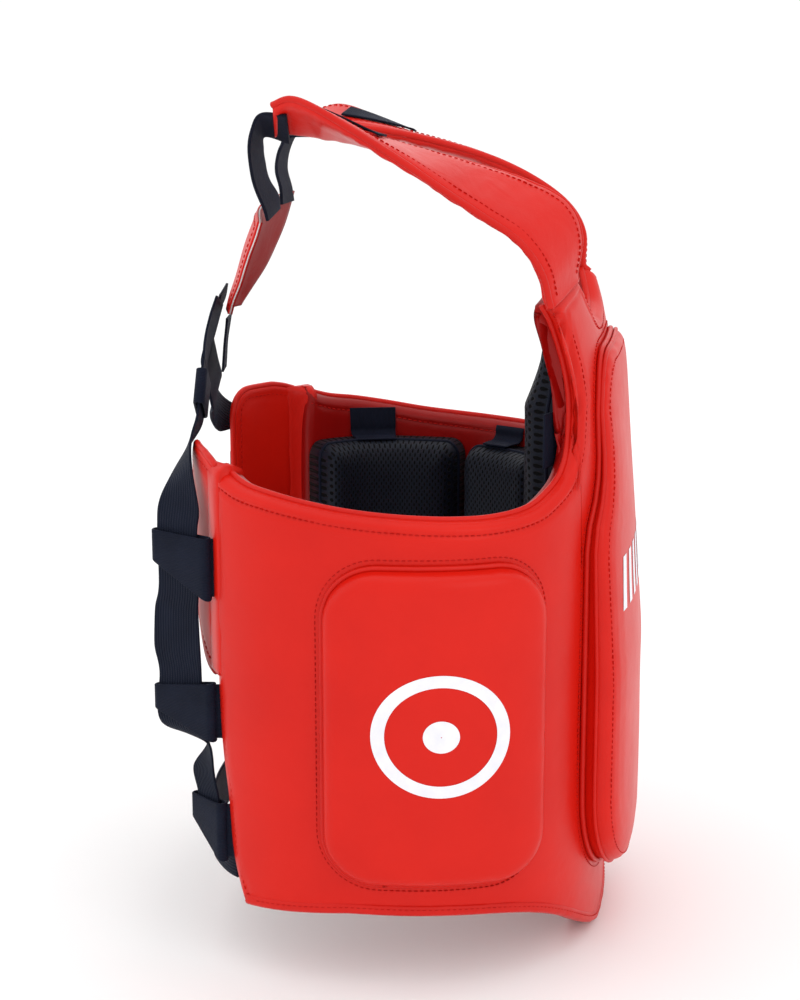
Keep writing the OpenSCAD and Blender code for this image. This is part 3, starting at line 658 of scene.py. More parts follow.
def wall_grid():
    """Points of the unrolled wall, as rows of s and z from the hem up, and their distance to its edges."""
    low = bottom_for_top()
    near_edge = np.array([0, 0.5, 1.3, 2.6, 4.2, 6, 7.6, 9, 10.6, 12.5, 15, 19])
    middle = 46
    columns = []
    count = len(TOP)
    for j in range(count):
        length = float(np.linalg.norm(TOP[j] - low[j]))
        inner = np.linspace(near_edge[-1], length - near_edge[-1], middle + 2)[1:-1]
        share = np.concatenate([near_edge, inner, length - near_edge[::-1]]) / length
        columns.append(low[j] + share[:, None] * (TOP[j] - low[j]))
    grid = np.stack(columns, axis=1)
    rows = grid.shape[0]
    edge = np.stack([np.interp(grid[:, 0, 1], REAR[:, 1], REAR[:, 0]), grid[:, 0, 1]], axis=1)
    bow = edge[:, 0] - grid[:, 0, 0]
    reach = 18
    for j in range(reach):
        fade = (1 - j / reach) ** 2
        grid[:, j, 0] += bow * fade
        grid[:, count - 1 - j, 0] -= bow * fade
    flat = grid.reshape(-1, 2)
    hem = joined(hem_line(60), hem_line(60))
    to_rim = distance_to_line(flat, TOP)
    to_rear = np.minimum(distance_to_line(flat, REAR), distance_to_line(flat, REAR * [-1, 1]))
    to_hem = distance_to_line(flat, hem)
    shape = (rows, count)
    return grid, to_rim.reshape(shape), to_rear.reshape(shape), to_hem.reshape(shape)


def rounding(distance, radius):
    """How far a rounded edge drops at a distance from it."""
    e = np.clip(1 - distance / radius, 0, 1)
    return radius * (1 - np.sqrt(1 - e * e))


def groove(distance, at, depth, width):
    """Depth of a sewn groove that runs at one distance from the edge."""
    return depth * np.exp(-((distance - at) / width) ** 2)


def padded_wall():
    grid, to_rim, to_rear, to_hem = wall_grid()
    edge = np.minimum(np.minimum(to_rim, to_rear), to_hem)
    seam = np.minimum(to_rim, to_rear)
    s = grid[..., 0]
    z = grid[..., 1]
    flat = with_zero(np.stack([s.ravel(), z.ravel()], axis=1))
    broad = ripple(flat, 95, 3.0).reshape(s.shape)
    pucker = ripple(flat, 17, 8.0).reshape(s.shape)
    near_seam = np.exp(-((seam - 9) / 9) ** 2)
    calm = np.clip(edge / 12, 0, 1)
    relief = 0.9 * broad * calm + 0.55 * pucker * near_seam * calm
    outer = -rounding(edge, 8.5) - groove(seam, 9, 1.3, 1.7) + relief
    inner = -WALL + rounding(edge, 8.5) + groove(seam, 9, 0.9, 1.7) - 1.4 * broad * calm
    rows, columns = s.shape
    uvs = np.stack([s.ravel(), z.ravel()], axis=1) * MM
    outside = on_wall(s, z, outer).reshape(-1, 3)
    inside = on_wall(s, z, inner).reshape(-1, 3)
    # the skin wraps over the edge to the middle of the wall's thickness
    ring = border(rows, columns)
    edge_points = on_wall(s.ravel()[ring], z.ravel()[ring], np.full(len(ring), -WALL / 2))
    base = len(outside)
    lip = []
    for i in range(len(ring)):
        k = (i + 1) % len(ring)
        lip.append((ring[i], base + i, base + k, ring[k]))
    skin_points = np.vstack([outside, edge_points])
    skin_uvs = np.vstack([uvs, uvs[ring]])
    make("padded_wall_skin", skin_points, grid_faces(rows, columns, flip=True) + [f[::-1] for f in lip], RED,
         "shell", skin_uvs, ("outer_skin", "foam_core"))
    lining_points = np.vstack([inside, edge_points])
    # the lining's darker red is partly painted shade for the inside of the shell
    make("wall_lining", lining_points, grid_faces(rows, columns) + lip, LINING_WITH_PAINTED_SHADE, "shell",
         skin_uvs, ("lining",))


def offset_line(line, distance):
    """A 2-D line moved to its right by a distance, from the left rear round to the right."""
    along = unit(np.gradient(line, axis=0))
    return line + distance * np.stack([along[:, 1], -along[:, 0]], axis=1)


def wall_normals(points_s, z, off):
    """Outward normals of the wall face at the given places."""
    middle = on_wall(points_s, z, off)
    return unit(on_wall(points_s, z, off + 1.0) - middle)


def wall_stitches(batch, path, off, face=0.0, sign=1):
    """Stitches on the wall along a path of s and z. `sign` is -1 for its inner face."""
    normals = sign * wall_normals(path[:, 0], path[:, 1], face)
    stitches(batch, on_wall(path[:, 0], path[:, 1], off), normals)


def rim_trim():
    """Stitches along the rim and the rear edges, and the folded binding along the rim."""
    thread = Batch()
    for side, (line, _, _) in TRIM_LINES.items():
        path = offset_line(line, -STITCH_INSET)[2:-6] * [side, 1]
        wall_stitches(thread, path, -0.9)
        wall_stitches(thread, path, -WALL + 0.5, -WALL, -1)
        wall_stitches(thread, (REAR + [-STITCH_INSET, 0])[4:-6] * [side, 1], -0.9)
    neck = joined(TRIM_LINES[1][2], TRIM_LINES[-1][2])
    wall_stitches(thread, (neck + [0, -STITCH_INSET])[2:-2], -0.9)
    thread.make("rim_stitches", THREAD, "shell", "red_leather")
    cord = Batch()
    for line in (TRIM_LINES[1][0], TRIM_LINES[-1][0] * [-1, 1], neck):
        tube(cord, on_wall(line[:, 0], line[:, 1] + 0.3, -WALL / 2), RIM_CORD)
    cord.make("rim_edge_cord", BINDING, "shell", "red_leather", ("rim_binding",))


def hem_band():
    """Folded strip round the lower edge, with its stitch line."""
    half = resample(hem_line(400), 120)
    line = joined(half, half)
    face = [(-0.2, HEM_H + 0.5), (0.7, HEM_H), (1.3, HEM_H - 1), (1.2, 6), (1.5, 4.5), (1.1, 2.6),
            (-1.2, 0.8), (-5, 0.05)]
    outline = face + [(-11, 0)] + [(-WALL - off, rise) for off, rise in reversed(face)]
    points = []
    uvs = []
    for s, z in line:
        for j, (off, rise) in enumerate(outline):
            wave = 0.35 * noise.noise(Vector((s / 14, j * 0.7, 5.0)))
            points.append(on_wall(s, z + rise, off + (wave if 0 < j < 6 else 0)))
            uvs.append((s * MM, rise * MM))
    count = len(outline)
    faces = grid_faces(len(line), count, flip=True)
    faces += end_faces(len(line), count, flip=True)
    make("hem_strip", points, faces, BINDING, "shell", uvs, ("hem_band",))
    thread = Batch()
    wall_stitches(thread, line[3:-3] + [0, HEM_H - 2.4], 1.15)
    thread.make("hem_stitches", THREAD, "shell", "red_leather")


# ---------------------------------------------------------------- raised pads
def star_pad(name, outline, middle, profile, side, material, nodes, relief, rings=34):
    """A pad on the wall. `outline` is a closed line of s and z about `middle`; `profile` gives its height
    from the distance to the edge and from z; `side` holds its base offset, and 1 outside or -1 inside."""
    outline = np.asarray(outline, float)
    share = 1 - (np.linspace(0, 1, rings + 1)[:-1]) ** 2.1
    grid = middle + share[:, None, None] * (outline - middle)
    flat = grid.reshape(-1, 2)
    closed = closed_line(outline)
    distance = distance_to_line(flat, closed)
    spots = with_zero(flat)
    height = profile(distance, flat[:, 1]) + relief(spots, distance)
    base, direction = side
    points = on_wall(flat[:, 0], flat[:, 1], base + direction * height)
    columns = len(outline)
    faces = fan_faces(rings, columns, direction < 0)
    tip_distance = distance_to_line(np.array([middle]), closed)
    tip = on_wall(middle[0], middle[1], base + direction * float(profile(tip_distance, middle[1])[0]))
    # side wall down to the face that the pad sits on
    under = on_wall(outline[:, 0], outline[:, 1], np.full(columns, base))
    start = len(points) + 1
    points = np.vstack([points, tip[None], under])
    for j in range(columns):
        k = (j + 1) % columns
        face = (start + j, start + k, k, j)
        faces.append(face if direction > 0 else face[::-1])
    back = tuple(start + j for j in range(columns))
    faces.append(back[::-1] if direction > 0 else back)
    uvs = np.vstack([flat, [middle], outline]) * MM
    make(name, points, faces, material, "shell", uvs, nodes)


def round_outline(low_s, high_s, low_z, high_z, radius, count=200):
    """A closed rounded rectangle of s and z, anticlockwise."""
    points = []
    for cx, cz, start in ((high_s - radius, low_z + radius, -90), (high_s - radius, high_z - radius, 0),
                          (low_s + radius, high_z - radius, 90), (low_s + radius, low_z + radius, 180)):
        for a in np.radians(np.linspace(start, start + 90, 13)):
            points.append((cx + radius * math.cos(a), cz + radius * math.sin(a)))
    points.append(points[0])
    return resample(np.array(points), count + 1)[:-1]


def grown(outline, by):
    """A closed anticlockwise outline moved outwards."""
    along = unit(np.roll(outline, -1, axis=0) - np.roll(outline, 1, axis=0))
    return outline + by * np.stack([along[:, 1], -along[:, 0]], axis=1)


def profile_from(pairs):
    """Profile of a pad from pairs of distance to its edge and height."""
    at, high = zip(*pairs)
    return lambda distance, z: np.interp(distance, at, high)


def ring_trim(name, outline, at_off, radius, nodes=()):
    """A piping cord round a pad on the wall."""
    closed = closed_line(outline, 2)
    path = on_wall(closed[:, 0], closed[:, 1], at_off)
    ups = wall_normals(closed[:, 0], closed[:, 1], at_off)
    cord = Batch()
    tube(cord, path, radius, ups=ups)
    cord.make(name, BINDING, "shell", "red_leather", nodes)


# y of the side pad's front edge, its length from front to rear, its heights and its corner radius
SIDE_PAD = {"front_y": -132.0, "length": 148.0, "low": 43.0, "high": 279.0, "radius": 38.0}


def side_pad_outline(side):
    rear = s_at_y(SIDE_PAD["front_y"] + SIDE_PAD["length"])
    front = s_at_y(SIDE_PAD["front_y"])
    line = round_outline(front, rear, SIDE_PAD["low"], SIDE_PAD["high"], SIDE_PAD["radius"])
    if side < 0:
        line = (line * [-1, 1])[::-1]
    return line


def side_swell(spots, side):
    """Broad waves of a side pad's face, which its print follows."""
    return 0.5 * ripple(spots, 60, 2.0 + side)


def side_pad(word):
    side = SIDES[word]
    outline = side_pad_outline(side)
    middle = outline.mean(axis=0)
    profile = profile_from([(0, 4.0), (0.4, 7.0), (1.2, 9.6), (2.6, 11.8), (4.6, 13.6), (8, 15.1), (13, 15.9),
                            (24, 16.5), (60, 17.2)])

    def relief(spots, distance):
        return side_swell(spots, side) * np.clip(distance / 14, 0, 1) \
            + 0.35 * ripple(spots, 12, 7.0) * np.exp(-((distance - 5) / 4) ** 2)
    nodes = (f"{word}_side_pad_foam", f"{word}_side_pad_cover")
    star_pad(f"{word}_side_pad", outline, middle, profile, (PAD_BASE, 1), RED, nodes,
             relief)
    ring_trim(f"{word}_side_pad_cord", grown(outline, 1.4), 2.0, PAD_CORD, (f"{word}_side_pad_piping",))
    thread = Batch()
    wall_stitches(thread, closed_line(grown(outline, PAD_STITCHES)), PAD_BASE)
    thread.make(f"{word}_side_pad_stitches", THREAD, "shell", "red_leather")
    target_print(word, middle, profile, outline)


def target_print(word, middle, profile, outline):
    """A plain ring and dot, laid on the side pad."""
    side = SIDES[word]
    batch = Batch()
    closed = closed_line(outline)
    turn = np.linspace(0, 2 * np.pi, 96, endpoint=False)
    circle = np.stack([np.cos(turn), np.sin(turn)], axis=1)
    for radii in (TARGET_RING, TARGET_DOT):
        flat = np.vstack([middle + r * circle for r in radii])
        spots = with_zero(flat)
        distance = distance_to_line(flat, closed)
        height = profile(distance, flat[:, 1]) + side_swell(spots, side) + TARGET_LIFT
        batch.add(on_wall(flat[:, 0], flat[:, 1], height), grid_faces(len(radii), 96, around=True, flip=True),
                  flat * MM)
    batch.make(f"{word}_target", PRINT, "shell", "white_print", (f"{word}_side_pad_print",))


# half widths over belly and chest, lowest and highest edge, and height and radius of the corners
FRONT_PAD = {"half": 92.0, "low": 6.0, "corner": 84.0, "high": 414.0, "chest_half": 76.0, "radius": 40.0}


def front_pad_outline(count=340):
    """Closed outline of the chest and belly pad, as s and z."""
    half = FRONT_PAD["half"]
    chest = FRONT_PAD["chest_half"]
    low = FRONT_PAD["low"]
    corner = FRONT_PAD["corner"]
    right = []
    for a in np.radians(np.arange(0, 91, 6)):
        right.append((half * math.sin(a) ** 0.8, low + corner * (1 - math.cos(a) ** 0.8)))
    right += [(half, 180), (half, ARMHOLE_Z - 40), (half - 4, ARMHOLE_Z - 22), (chest + 1, ARMHOLE_Z - 4),
              (chest - 4.5, ARMHOLE_Z + 12), (chest - 5, ARMHOLE_Z + 30)]
    radius = FRONT_PAD["radius"]
    top = FRONT_PAD["high"] - radius
    for a in np.radians(np.arange(0, 91, 10)):
        right.append((chest - radius * (1 - math.cos(a)), top + radius * math.sin(a)))
    right = [(s_at_x(x), z) for x, z in right]
    left = [(-s, z) for s, z in right[::-1]]
    return resample(np.array(right + left[:-1] + right[:1]), count + 1)[:-1]


def pad_share(z):
    """Thickness of the front pad at a height, as a share of its thickness over the belly."""
    z = np.asarray(z, float)
    lost = PAD_SLOPE * soft_rise(z, PAD_BEND_Z)
    gained = CHEST_SLOPE * soft_rise(z, CHEST_BEND_Z)
    return (PAD_THICK - lost + gained) / PAD_THICK


def front_profile(distance, z):
    """Height of the front pad's face from the distance to its edge."""
    at = (0, 0.5, 1.5, 3.2, 6, 10, 16, 28, 60, 120)
    high = (12.0, 14.4, 16.9, 19.3, 21.6, 23.3, 24.6, 25.6, 26.0, 26.2)
    return np.interp(distance, at, high) * pad_share(z)


def front_swell(spots):
    """Broad waves of the front pad's face, which its print follows."""
    return 0.8 * ripple(spots, 85, 4.0)


def front_pad():
    outline = front_pad_outline()
    middle = np.array([0.0, 215.0])

    def relief(spots, distance):
        high = np.clip((spots[:, 1] - 330) / 90, 0, 1)
        gathers = np.sin(spots[:, 1] / 2.6 + spots[:, 0] / 5) * np.exp(-((distance - 3) / 5) ** 2)
        return front_swell(spots) * np.clip(distance / 18, 0, 1) \
            + 0.5 * ripple(spots, 15, 9.0) * np.exp(-((distance - 6) / 6) ** 2) + 0.35 * high * gathers
    star_pad("front_pad", outline, middle, front_profile, (PAD_BASE, 1), RED,
             ("front_pad_foam", "front_pad_cover"), relief, 44)
    ring_trim("front_pad_base_cord", grown(outline, 1.4), 2.0, PAD_CORD, ("front_pad_piping",))
    gusset = grown(outline, 0.6)
    heights = closed_line(gusset, 2)[:, 1]
    ring_trim("front_pad_gusset_cord", gusset, GUSSET_Z * pad_share(heights), GUSSET_CORD)
    thread = Batch()
    wall_stitches(thread, closed_line(grown(outline, PAD_STITCHES)), PAD_BASE)
    inner = closed_line(grown(outline, -PAD_STITCHES))
    wall_stitches(thread, inner, 22.4 * pad_share(inner[:, 1]), 20.0)
    thread.make("front_pad_stitches", THREAD, "shell", "red_leather")
    slanted_bars(outline)


BARS = {"count": 7, "pitch": 20, "low": 222, "high": 262, "lean": 6, "width": 10, "lift": 0.5}


def slanted_bars(outline):
    """A row of plain slanted bars across the chest."""
    batch = Batch()
    closed = closed_line(outline)
    for i in range(BARS["count"]):
        middle = (i - (BARS["count"] - 1) / 2) * BARS["pitch"]
        rows = []
        for z in np.linspace(BARS["low"], BARS["high"], 15):
            lean = (z - BARS["low"]) / (BARS["high"] - BARS["low"]) * BARS["lean"]
            rows += [(middle - BARS["lean"] + lean + q, z) for q in np.linspace(0, BARS["width"], 6)]
        flat = np.array([(s_at_x(x), z) for x, z in rows])
        spots = with_zero(flat)
        height = front_profile(distance_to_line(flat, closed), flat[:, 1]) + front_swell(spots) + BARS["lift"]
        batch.add(on_wall(flat[:, 0], flat[:, 1], height), grid_faces(15, 6, flip=True), flat * MM)
    batch.make("chest_bars", PRINT, "shell", "white_print", ("front_pad_print",))


# ---------------------------------------------------------------- rear wings
def on_wing(side, s, z, off):
    """Points on a wing, from its left-side length along the skin. Its free edge stands out from the oval."""
    start = s_at_angle(SEAM_ANGLE)
    share = np.clip((s - start) / (s_at_angle(WING_ANGLE) - start), 0, 1)
    return on_wall(s * side, z, off + WING_FLARE[side] * share)


def wing_normals(side, path, sign):
    inner = on_wing(side, path[:, 0], path[:, 1], 0.0)
    return sign * unit(on_wing(side, path[:, 0], path[:, 1], 1.0) - inner)


def wing_outline():
    """Closed outline of a wing on the left, as s and z, from its low end at the seam."""
    start = s_at_angle(SEAM_ANGLE + 0.6)
    end = s_at_angle(WING_ANGLE)
    radius = 20.0
    low = spline([(start, 178), (start + 26, 188), (end - 14, 230), (end - 4, 246), (end, 262)], 30)
    top = [(end, 262)]
    for a in np.radians(np.arange(0, 91, 15)):
        top.append((end - radius * (1 - math.cos(a)), WING_TOP - radius * (1 - math.sin(a))))
    top += [(start + 24, WING_TOP - 0.5), (start + 12, WING_TOP - 3), (start, WING_TOP - 7), (start, 178)]
    return np.vstack([low, resample(np.array(top), 110)[1:-1]])


def wing(word):
    side = SIDES[word]
    outline = wing_outline()
    middle = np.array([(outline[:, 0].min() + outline[:, 0].max()) / 2 - 4, 275.0])
    rings = 16
    share = 1 - np.linspace(0, 1, rings + 1)[:-1] ** 1.8
    flat = (middle + share[:, None, None] * (outline - middle)).reshape(-1, 2)
    distance = distance_to_line(flat, closed_line(outline))
    swell = WING_HALF_T - rounding(distance, WING_HALF_T) - groove(distance, 7.5, 0.7, 1.2)
    spots = with_zero(flat)
    wave = 1.2 * ripple(spots, 40, 6.0) * np.clip(distance / 12, 0, 1)
    faces = fan_faces(rings, len(outline))
    batch = Batch()
    for face_side in (1, -1):
        points = on_wing(side, flat[:, 0], flat[:, 1], WING_MIDDLE + face_side * swell + wave)
        tip = on_wing(side, middle[0], middle[1], WING_MIDDLE + face_side * WING_HALF_T)
        batch.add(np.vstack([points, tip[None]]), faces, np.vstack([flat, [middle]]) * MM)
    obj = batch.make(f"{word}_wing_leather", RED, f"{word}_wing_flap", "red_leather", (f"{word}_wing",), 0.9)
    tidy_normals(obj)
    free = outline[2:-14]
    trim = Batch()
    tube(trim, on_wing(side, free[:, 0], free[:, 1], WING_MIDDLE), STRAP_CORD)
    trim.make(f"{word}_wing_cord", BINDING, f"{word}_wing_flap", "red_leather", (f"{word}_wing_binding",))
    ring = grown(outline, -7.5)[4:-20]
    thread = Batch()
    for sign in (1, -1):
        off = WING_MIDDLE + sign * (WING_HALF_T - 0.5)
        stitches(thread, on_wing(side, ring[:, 0], ring[:, 1], off), wing_normals(side, ring, sign))
    thread.make(f"{word}_wing_stitches", THREAD, f"{word}_wing_flap", "red_leather")
    wing_hinge(word)


def wing_hinge(word):
    """Leather that crosses the rear seam from the padded wall to the wing, inside and outside."""
    side = SIDES[word]
    seam = s_at_angle(SEAM_ANGLE)
    section = [(-12, -0.6), (-7, 0.0), (-2, -0.7), (3, -1.7), (8, -2.5), (12, -3.2), (12, -8.8), (7, -9.8),
               (2, -11.5), (-3, -15.5), (-8, -20.0), (-12, -21.4)]
    rows = np.linspace(183, REAR_RIM_Z + 0.5, 46)
    points = []
    uvs = []
    for z in rows:
        pinch = math.sqrt(max(0.0, 1 - max(0.0, (z - rows[-1] + 8) / 8.5) ** 2))
        for along, off in section:
            points.append(on_wing(side, seam + along, z, -9.0 + (off + 9.0) * pinch))
            uvs.append(((seam + along) * MM, z * MM))
    count = len(section)
    faces = grid_faces(len(rows), count, around=True)
    faces += [tuple(range(count)), tuple((len(rows) - 1) * count + j for j in range(count))]
    obj = make(f"{word}_wing_hinge", points, faces, RED, None, uvs)
    tidy_normals(obj)
    start, end = (placed(on_wing(side, seam + along, 260, WING_MIDDLE)) for along in (-8, 9))
    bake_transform(obj)


# ---------------------------------------------------------------- webbing loops on the rear seams
# both ends of each loop's slot in plan, then its tape's lower and upper edge at the one end and the other
LOOPS = {
    "upper": ((148, 112), (128, 152), 240, 286, 261, 286),
    "middle": ((149, 110), (128, 153), 131, 175, 146, 166),
    "lower": ((154.7, 101.8), (132, 125), 40, 84, 62, 82),
}


LOOP_RADIUS = 3.75


def stadium_path(p, q, radius, count=64):
    """Closed path round two points, anticlockwise, with the share of the way from p to q at each point."""
    p = np.asarray(p, float)
    q = np.asarray(q, float)
    d = unit(q - p)
    n = np.array([-d[1], d[0]])
    points = []
    for centre, start in ((q, -90), (p, 90)):
        for a in np.radians(np.linspace(start, start + 180, 13)):
            points.append(centre + radius * (math.cos(a) * d + math.sin(a) * n))
    points.append(points[0])
    line = resample(np.array(points), count + 1)[:-1]
    share = ((line - p) @ d) / np.linalg.norm(q - p)
    return line, share


def band_ring(batch, line, low, high, thick):
    """A closed band round a path, `thick` outwards and inwards of it, between two heights."""
    along = unit(np.roll(line, -1, axis=0) - np.roll(line, 1, axis=0))
    out = np.stack([along[:, 1], -along[:, 0]], axis=1)
    h = thick / 2
    corners = [(h * 0.5, 0), (h, 0.6), (h, -0.6), (h * 0.5, 0), (-h * 0.5, 0), (-h, -0.6), (-h, 0.6),
               (-h * 0.5, 0)]
    ends = ["low", "low", "high", "high", "high", "high", "low", "low"]
    travel = np.concatenate([[0], np.cumsum(np.linalg.norm(np.diff(line, axis=0), axis=1))])
    points = []
    uvs = []
    for i in range(len(line)):
        for (o, dz), end in zip(corners, ends):
            z = (low[i] if end == "low" else high[i]) + dz
            xy = line[i] + out[i] * o
            points.append((xy[0], xy[1], z))
            uvs.append((z * MM, travel[i] * MM))
    count = len(corners)
    total = len(line)
    faces = []
    for i in range(total):
        for j in range(count):
            a = i * count + j
            b = i * count + (j + 1) % count
            c = ((i + 1) % total) * count + (j + 1) % count
            d = ((i + 1) % total) * count + j
            faces.append((a, d, c, b))
    batch.add(points, faces, uvs)


def webbing_loop(word, place):
    side = SIDES[word]
    p, q, low_a, high_a, low_b, high_b = LOOPS[place]
    line, share = stadium_path(p, q, LOOP_RADIUS)
    share = np.clip(share, -0.1, 1.1)
    low = low_a + share * (low_b - low_a)
    high = high_a + share * (high_b - high_a)
    batch = Batch()
    band_ring(batch, line * [side, 1], low, high, 2.0)
    obj = batch.make(f"{word}_{place}_loop_tape", ELASTIC, "shell", "elastic", (f"{word}_{place}_loop",))
    tidy_normals(obj)
    # the tab's sewn end, tucked under the wall's rear edge
    tab = Batch()
    end_s = s_at_y(p[1] - 8)
    along = (end_s - 4, end_s + 3, end_s + 8)
    edge_low = [on_wall(s * side, low_a + 1, -4.0) for s in along]
    edge_high = [on_wall(s * side, high_a - 1, -4.0) for s in along]
    edge_low[-1] = np.array([p[0] * side, p[1], low_a + 1])
    edge_high[-1] = np.array([p[0] * side, p[1], high_a - 1])
    a, b = paired(edge_low, edge_high, 12)
    sweep(tab, a, b, flat_section(2.2))
    tab.make(f"{word}_{place}_loop_tab", ELASTIC, "shell", "elastic")


# ---------------------------------------------------------------- keepers and webbing
# middle, lean and yaw of each webbing's straight run, drawn on the left for both sides
RUNS = {"left": ((24.0, 145.0, 372.0), -35.0, 0.0), "right": ((57.0, 134.0, 374.0), -28.0, 9.0)}
KEEPER_W = 47.0
KEEPER_T = 9.0
KEEPER_H = 27.0


def run_point(word, along, across, out=0.0):
    """Point on a straight webbing run, on the left for both sides."""
    middle, lean, yaw = RUNS[word]
    lean = math.radians(lean)
    yaw = math.radians(yaw)
    flat = across * math.cos(yaw) + out * math.sin(yaw)
    return (middle[0] + along * math.sin(lean) + flat * math.cos(lean),
            middle[1] - across * math.sin(yaw) + out * math.cos(yaw),
            middle[2] + along * math.cos(lean) - flat * math.sin(lean))


def keeper(word):
    side = SIDES[word]
    reach = KEEPER_W / 2 - KEEPER_T / 2
    line, _ = stadium_path((-reach, 0), (reach, 0), KEEPER_T / 2 - 1.1, 72)
    batch = Batch()
    half = np.full(len(line), KEEPER_H / 2)
    band_ring(batch, line, -half, half, 1.9)
    batch.points = on_side([run_point(word, z, x, y) for x, y, z in batch.points], side)
    obj = batch.make(f"{word}_keeper_band", ELASTIC, f"{word}_slider", "webbing", (f"{word}_keeper",))
    tidy_normals(obj)


def slot_point(place, share, z):
    """A point in a loop's slot, at a share of its length."""
    p, q = LOOPS[place][:2]
    return (p[0] + share * (q[0] - p[0]), p[1] + share * (q[1] - p[1]), z)


def threaded(place, share, low, high):
    """Two points that take an edge of the webbing straight down through a loop."""
    return [slot_point(place, share, high + 2), slot_point(place, share, low)]


# where the webbing's front and rear edge lie in the slots, as shares of a slot's length
NEAR_SHARE = 0.16
FAR_SHARE = NEAR_SHARE + WEBBING_W / math.dist(LOOPS["upper"][0], LOOPS["upper"][1])
# front and rear edge of the webbing above its upper loop, and at its foot below the middle one
TOP_RUN = {
    "right": ([(104, 131, 350), (126, 126, 333)], [(80, 142, 334), (108, 147, 320)]),
    "left": ([(62, 151, 358), (88, 156, 345), (116, 148, 328)],
             [(38, 151, 338), (62, 155, 324), (94, 157, 310)]),
}
FOOT_RUN = ([(143, 112, 122), (144, 109, 100)], [(112, 122, 118), (119, 131, 98)])


def lower_run(share, bulge):
    """One edge of the webbing from above the upper loop to inside the middle one."""
    start = slot_point("upper", share, 306)
    upper = slot_point("upper", share, 224)
    lower = slot_point("middle", share, 196)
    return ([(start[0] - 3, start[1] - 1, 306)] + threaded("upper", share, 244, 286)
            + [(upper[0] - 3, upper[1] + bulge, 224), (lower[0] - 2, lower[1] + bulge, 196)]
            + threaded("middle", share, 136, 174))


def on_side(points, side):
    return np.asarray(points, float) * [side, 1, 1]


def webbing_relief(travel, q, h):
    return 0.5 * noise.noise(Vector((travel / 22, q / 26, 1.0)))


def webbing(name, edges, count, body, node):
    """A length of the harness's webbing between two edges."""
    return tape(name, edges, count, flat_section(WEBBING_T, 0.12), WEBBING, body, "webbing", (node,),
                webbing_relief)


def back_webbing(word):
    side = SIDES[word]
    half = WEBBING_W / 2
    straight = (22, 0, -20)
    front_top, rear_top = TOP_RUN[word]
    front = [run_point(word, along, half) for along in straight] + front_top + lower_run(NEAR_SHARE, 1) \
        + FOOT_RUN[0] + threaded("lower", 0.1, 46, 82)
    rear = [run_point(word, along, -half) for along in straight] + rear_top + lower_run(FAR_SHARE, 4) \
        + FOOT_RUN[1] + threaded("lower", 0.96, 62, 80)
    webbing(f"{word}_long_webbing", (on_side(front, side), on_side(rear, side)), 230, "shell",
            f"{word}_back_webbing")


def lower_webbing():
    half = [(149.5, 91), (142, 99), (126, 110), (104, 120), (66, 129), (24, 133)]
    line = np.array(half + [(-x, y) for x, y in half[::-1]], float)
    low = np.column_stack([line, np.full(len(line), 22.0)])
    high = np.column_stack([line, np.full(len(line), 60.0)])
    webbing("small_of_back_webbing", (low, high), 130, "shell", "lower_back_webbing")


# ---------------------------------------------------------------- shoulder straps
# Armhole edge and neck edge of each strap, drawn on the left, from the chest seam over the shoulder.
STRAPS = {
    -1: ([(112, -132, 460), (116, -126, 482), (118, -110, 503), (118, -84, 520), (116, -55, 538),
          (113, -27, 556), (108, 9, 577), (101, 38, 592), (94, 56, 597), (88, 70, 592)],
         [(60, -146, 474), (58, -149, 500), (57, -139, 522), (56, -112, 536), (56, -75, 547),
          (56, -35, 557), (53, 8, 565), (49, 44, 569), (46, 64, 571), (44, 78, 568)]),
    1: ([(112, -130, 448), (116, -124, 470), (118, -108, 488), (118, -84, 505), (116, -55, 522),
         (113, -27, 538), (108, 9, 556), (101, 38, 571), (94, 56, 576), (88, 70, 571)],
        [(60, -142, 462), (58, -142, 486), (57, -131, 506), (56, -108, 524), (56, -75, 540),
         (56, -35, 552), (53, 8, 561), (49, 44, 565), (46, 64, 566), (44, 78, 562)]),
}
STRAP_T = 12.0
STRAP_ROWS = 150
LANDING_ROWS = slice(102, 134)


def strap_edges(side):
    arm, neck = STRAPS[side]
    drop = LEFT_DROP if side > 0 else 0
    arm = on_side([(112.5, -133.5, 454 - drop)] + arm, side)
    neck = on_side([(60.5, -147.5, 467 - drop)] + neck, side)
    if side > 0:
        return paired(arm, neck, STRAP_ROWS)
    return paired(neck, arm, STRAP_ROWS)


def strap_relief(travel, q, h):
    under = 1.0 if h < 0 else 0.25
    fold = noise.noise(Vector((travel / 9, q / 45, 3.0 if h < 0 else 6.0)))
    broad = noise.noise(Vector((travel / 40, q / 40, 9.0)))
    return under * 1.1 * fold + 0.7 * broad


def shoulder_strap(word):
    side = SIDES[word]
    a, b = strap_edges(side)
    batch = Batch()
    middle, across, up, width = sweep(batch, a, b, padded_section(STRAP_T - 1.5), strap_relief)
    obj = batch.make(f"{word}_padded_strap", STRAP_RED, "yoke", "red_leather", (f"{word}_shoulder_strap",),
                     0.7)
    tidy_normals(obj)
    cord = Batch()
    for sign in (-1, 1):
        path = middle + across * (sign * (width / 2 - 0.4))[:, None] + up * 1.2
        tube(cord, path, STRAP_CORD, ups=up)
    cord.make(f"{word}_strap_cord", BINDING, "yoke", "red_leather", (f"{word}_strap_piping",))
    thread = Batch()
    for sign in (-1, 1):
        path = middle + across * (sign * (width / 2 - 8))[:, None] + up * (STRAP_T / 2 - 1.0)
        stitches(thread, path[4:-4], up[4:-4])
    thread.make(f"{word}_strap_stitches", THREAD, "yoke", "red_leather")
    landing(word, middle, across, up, width)


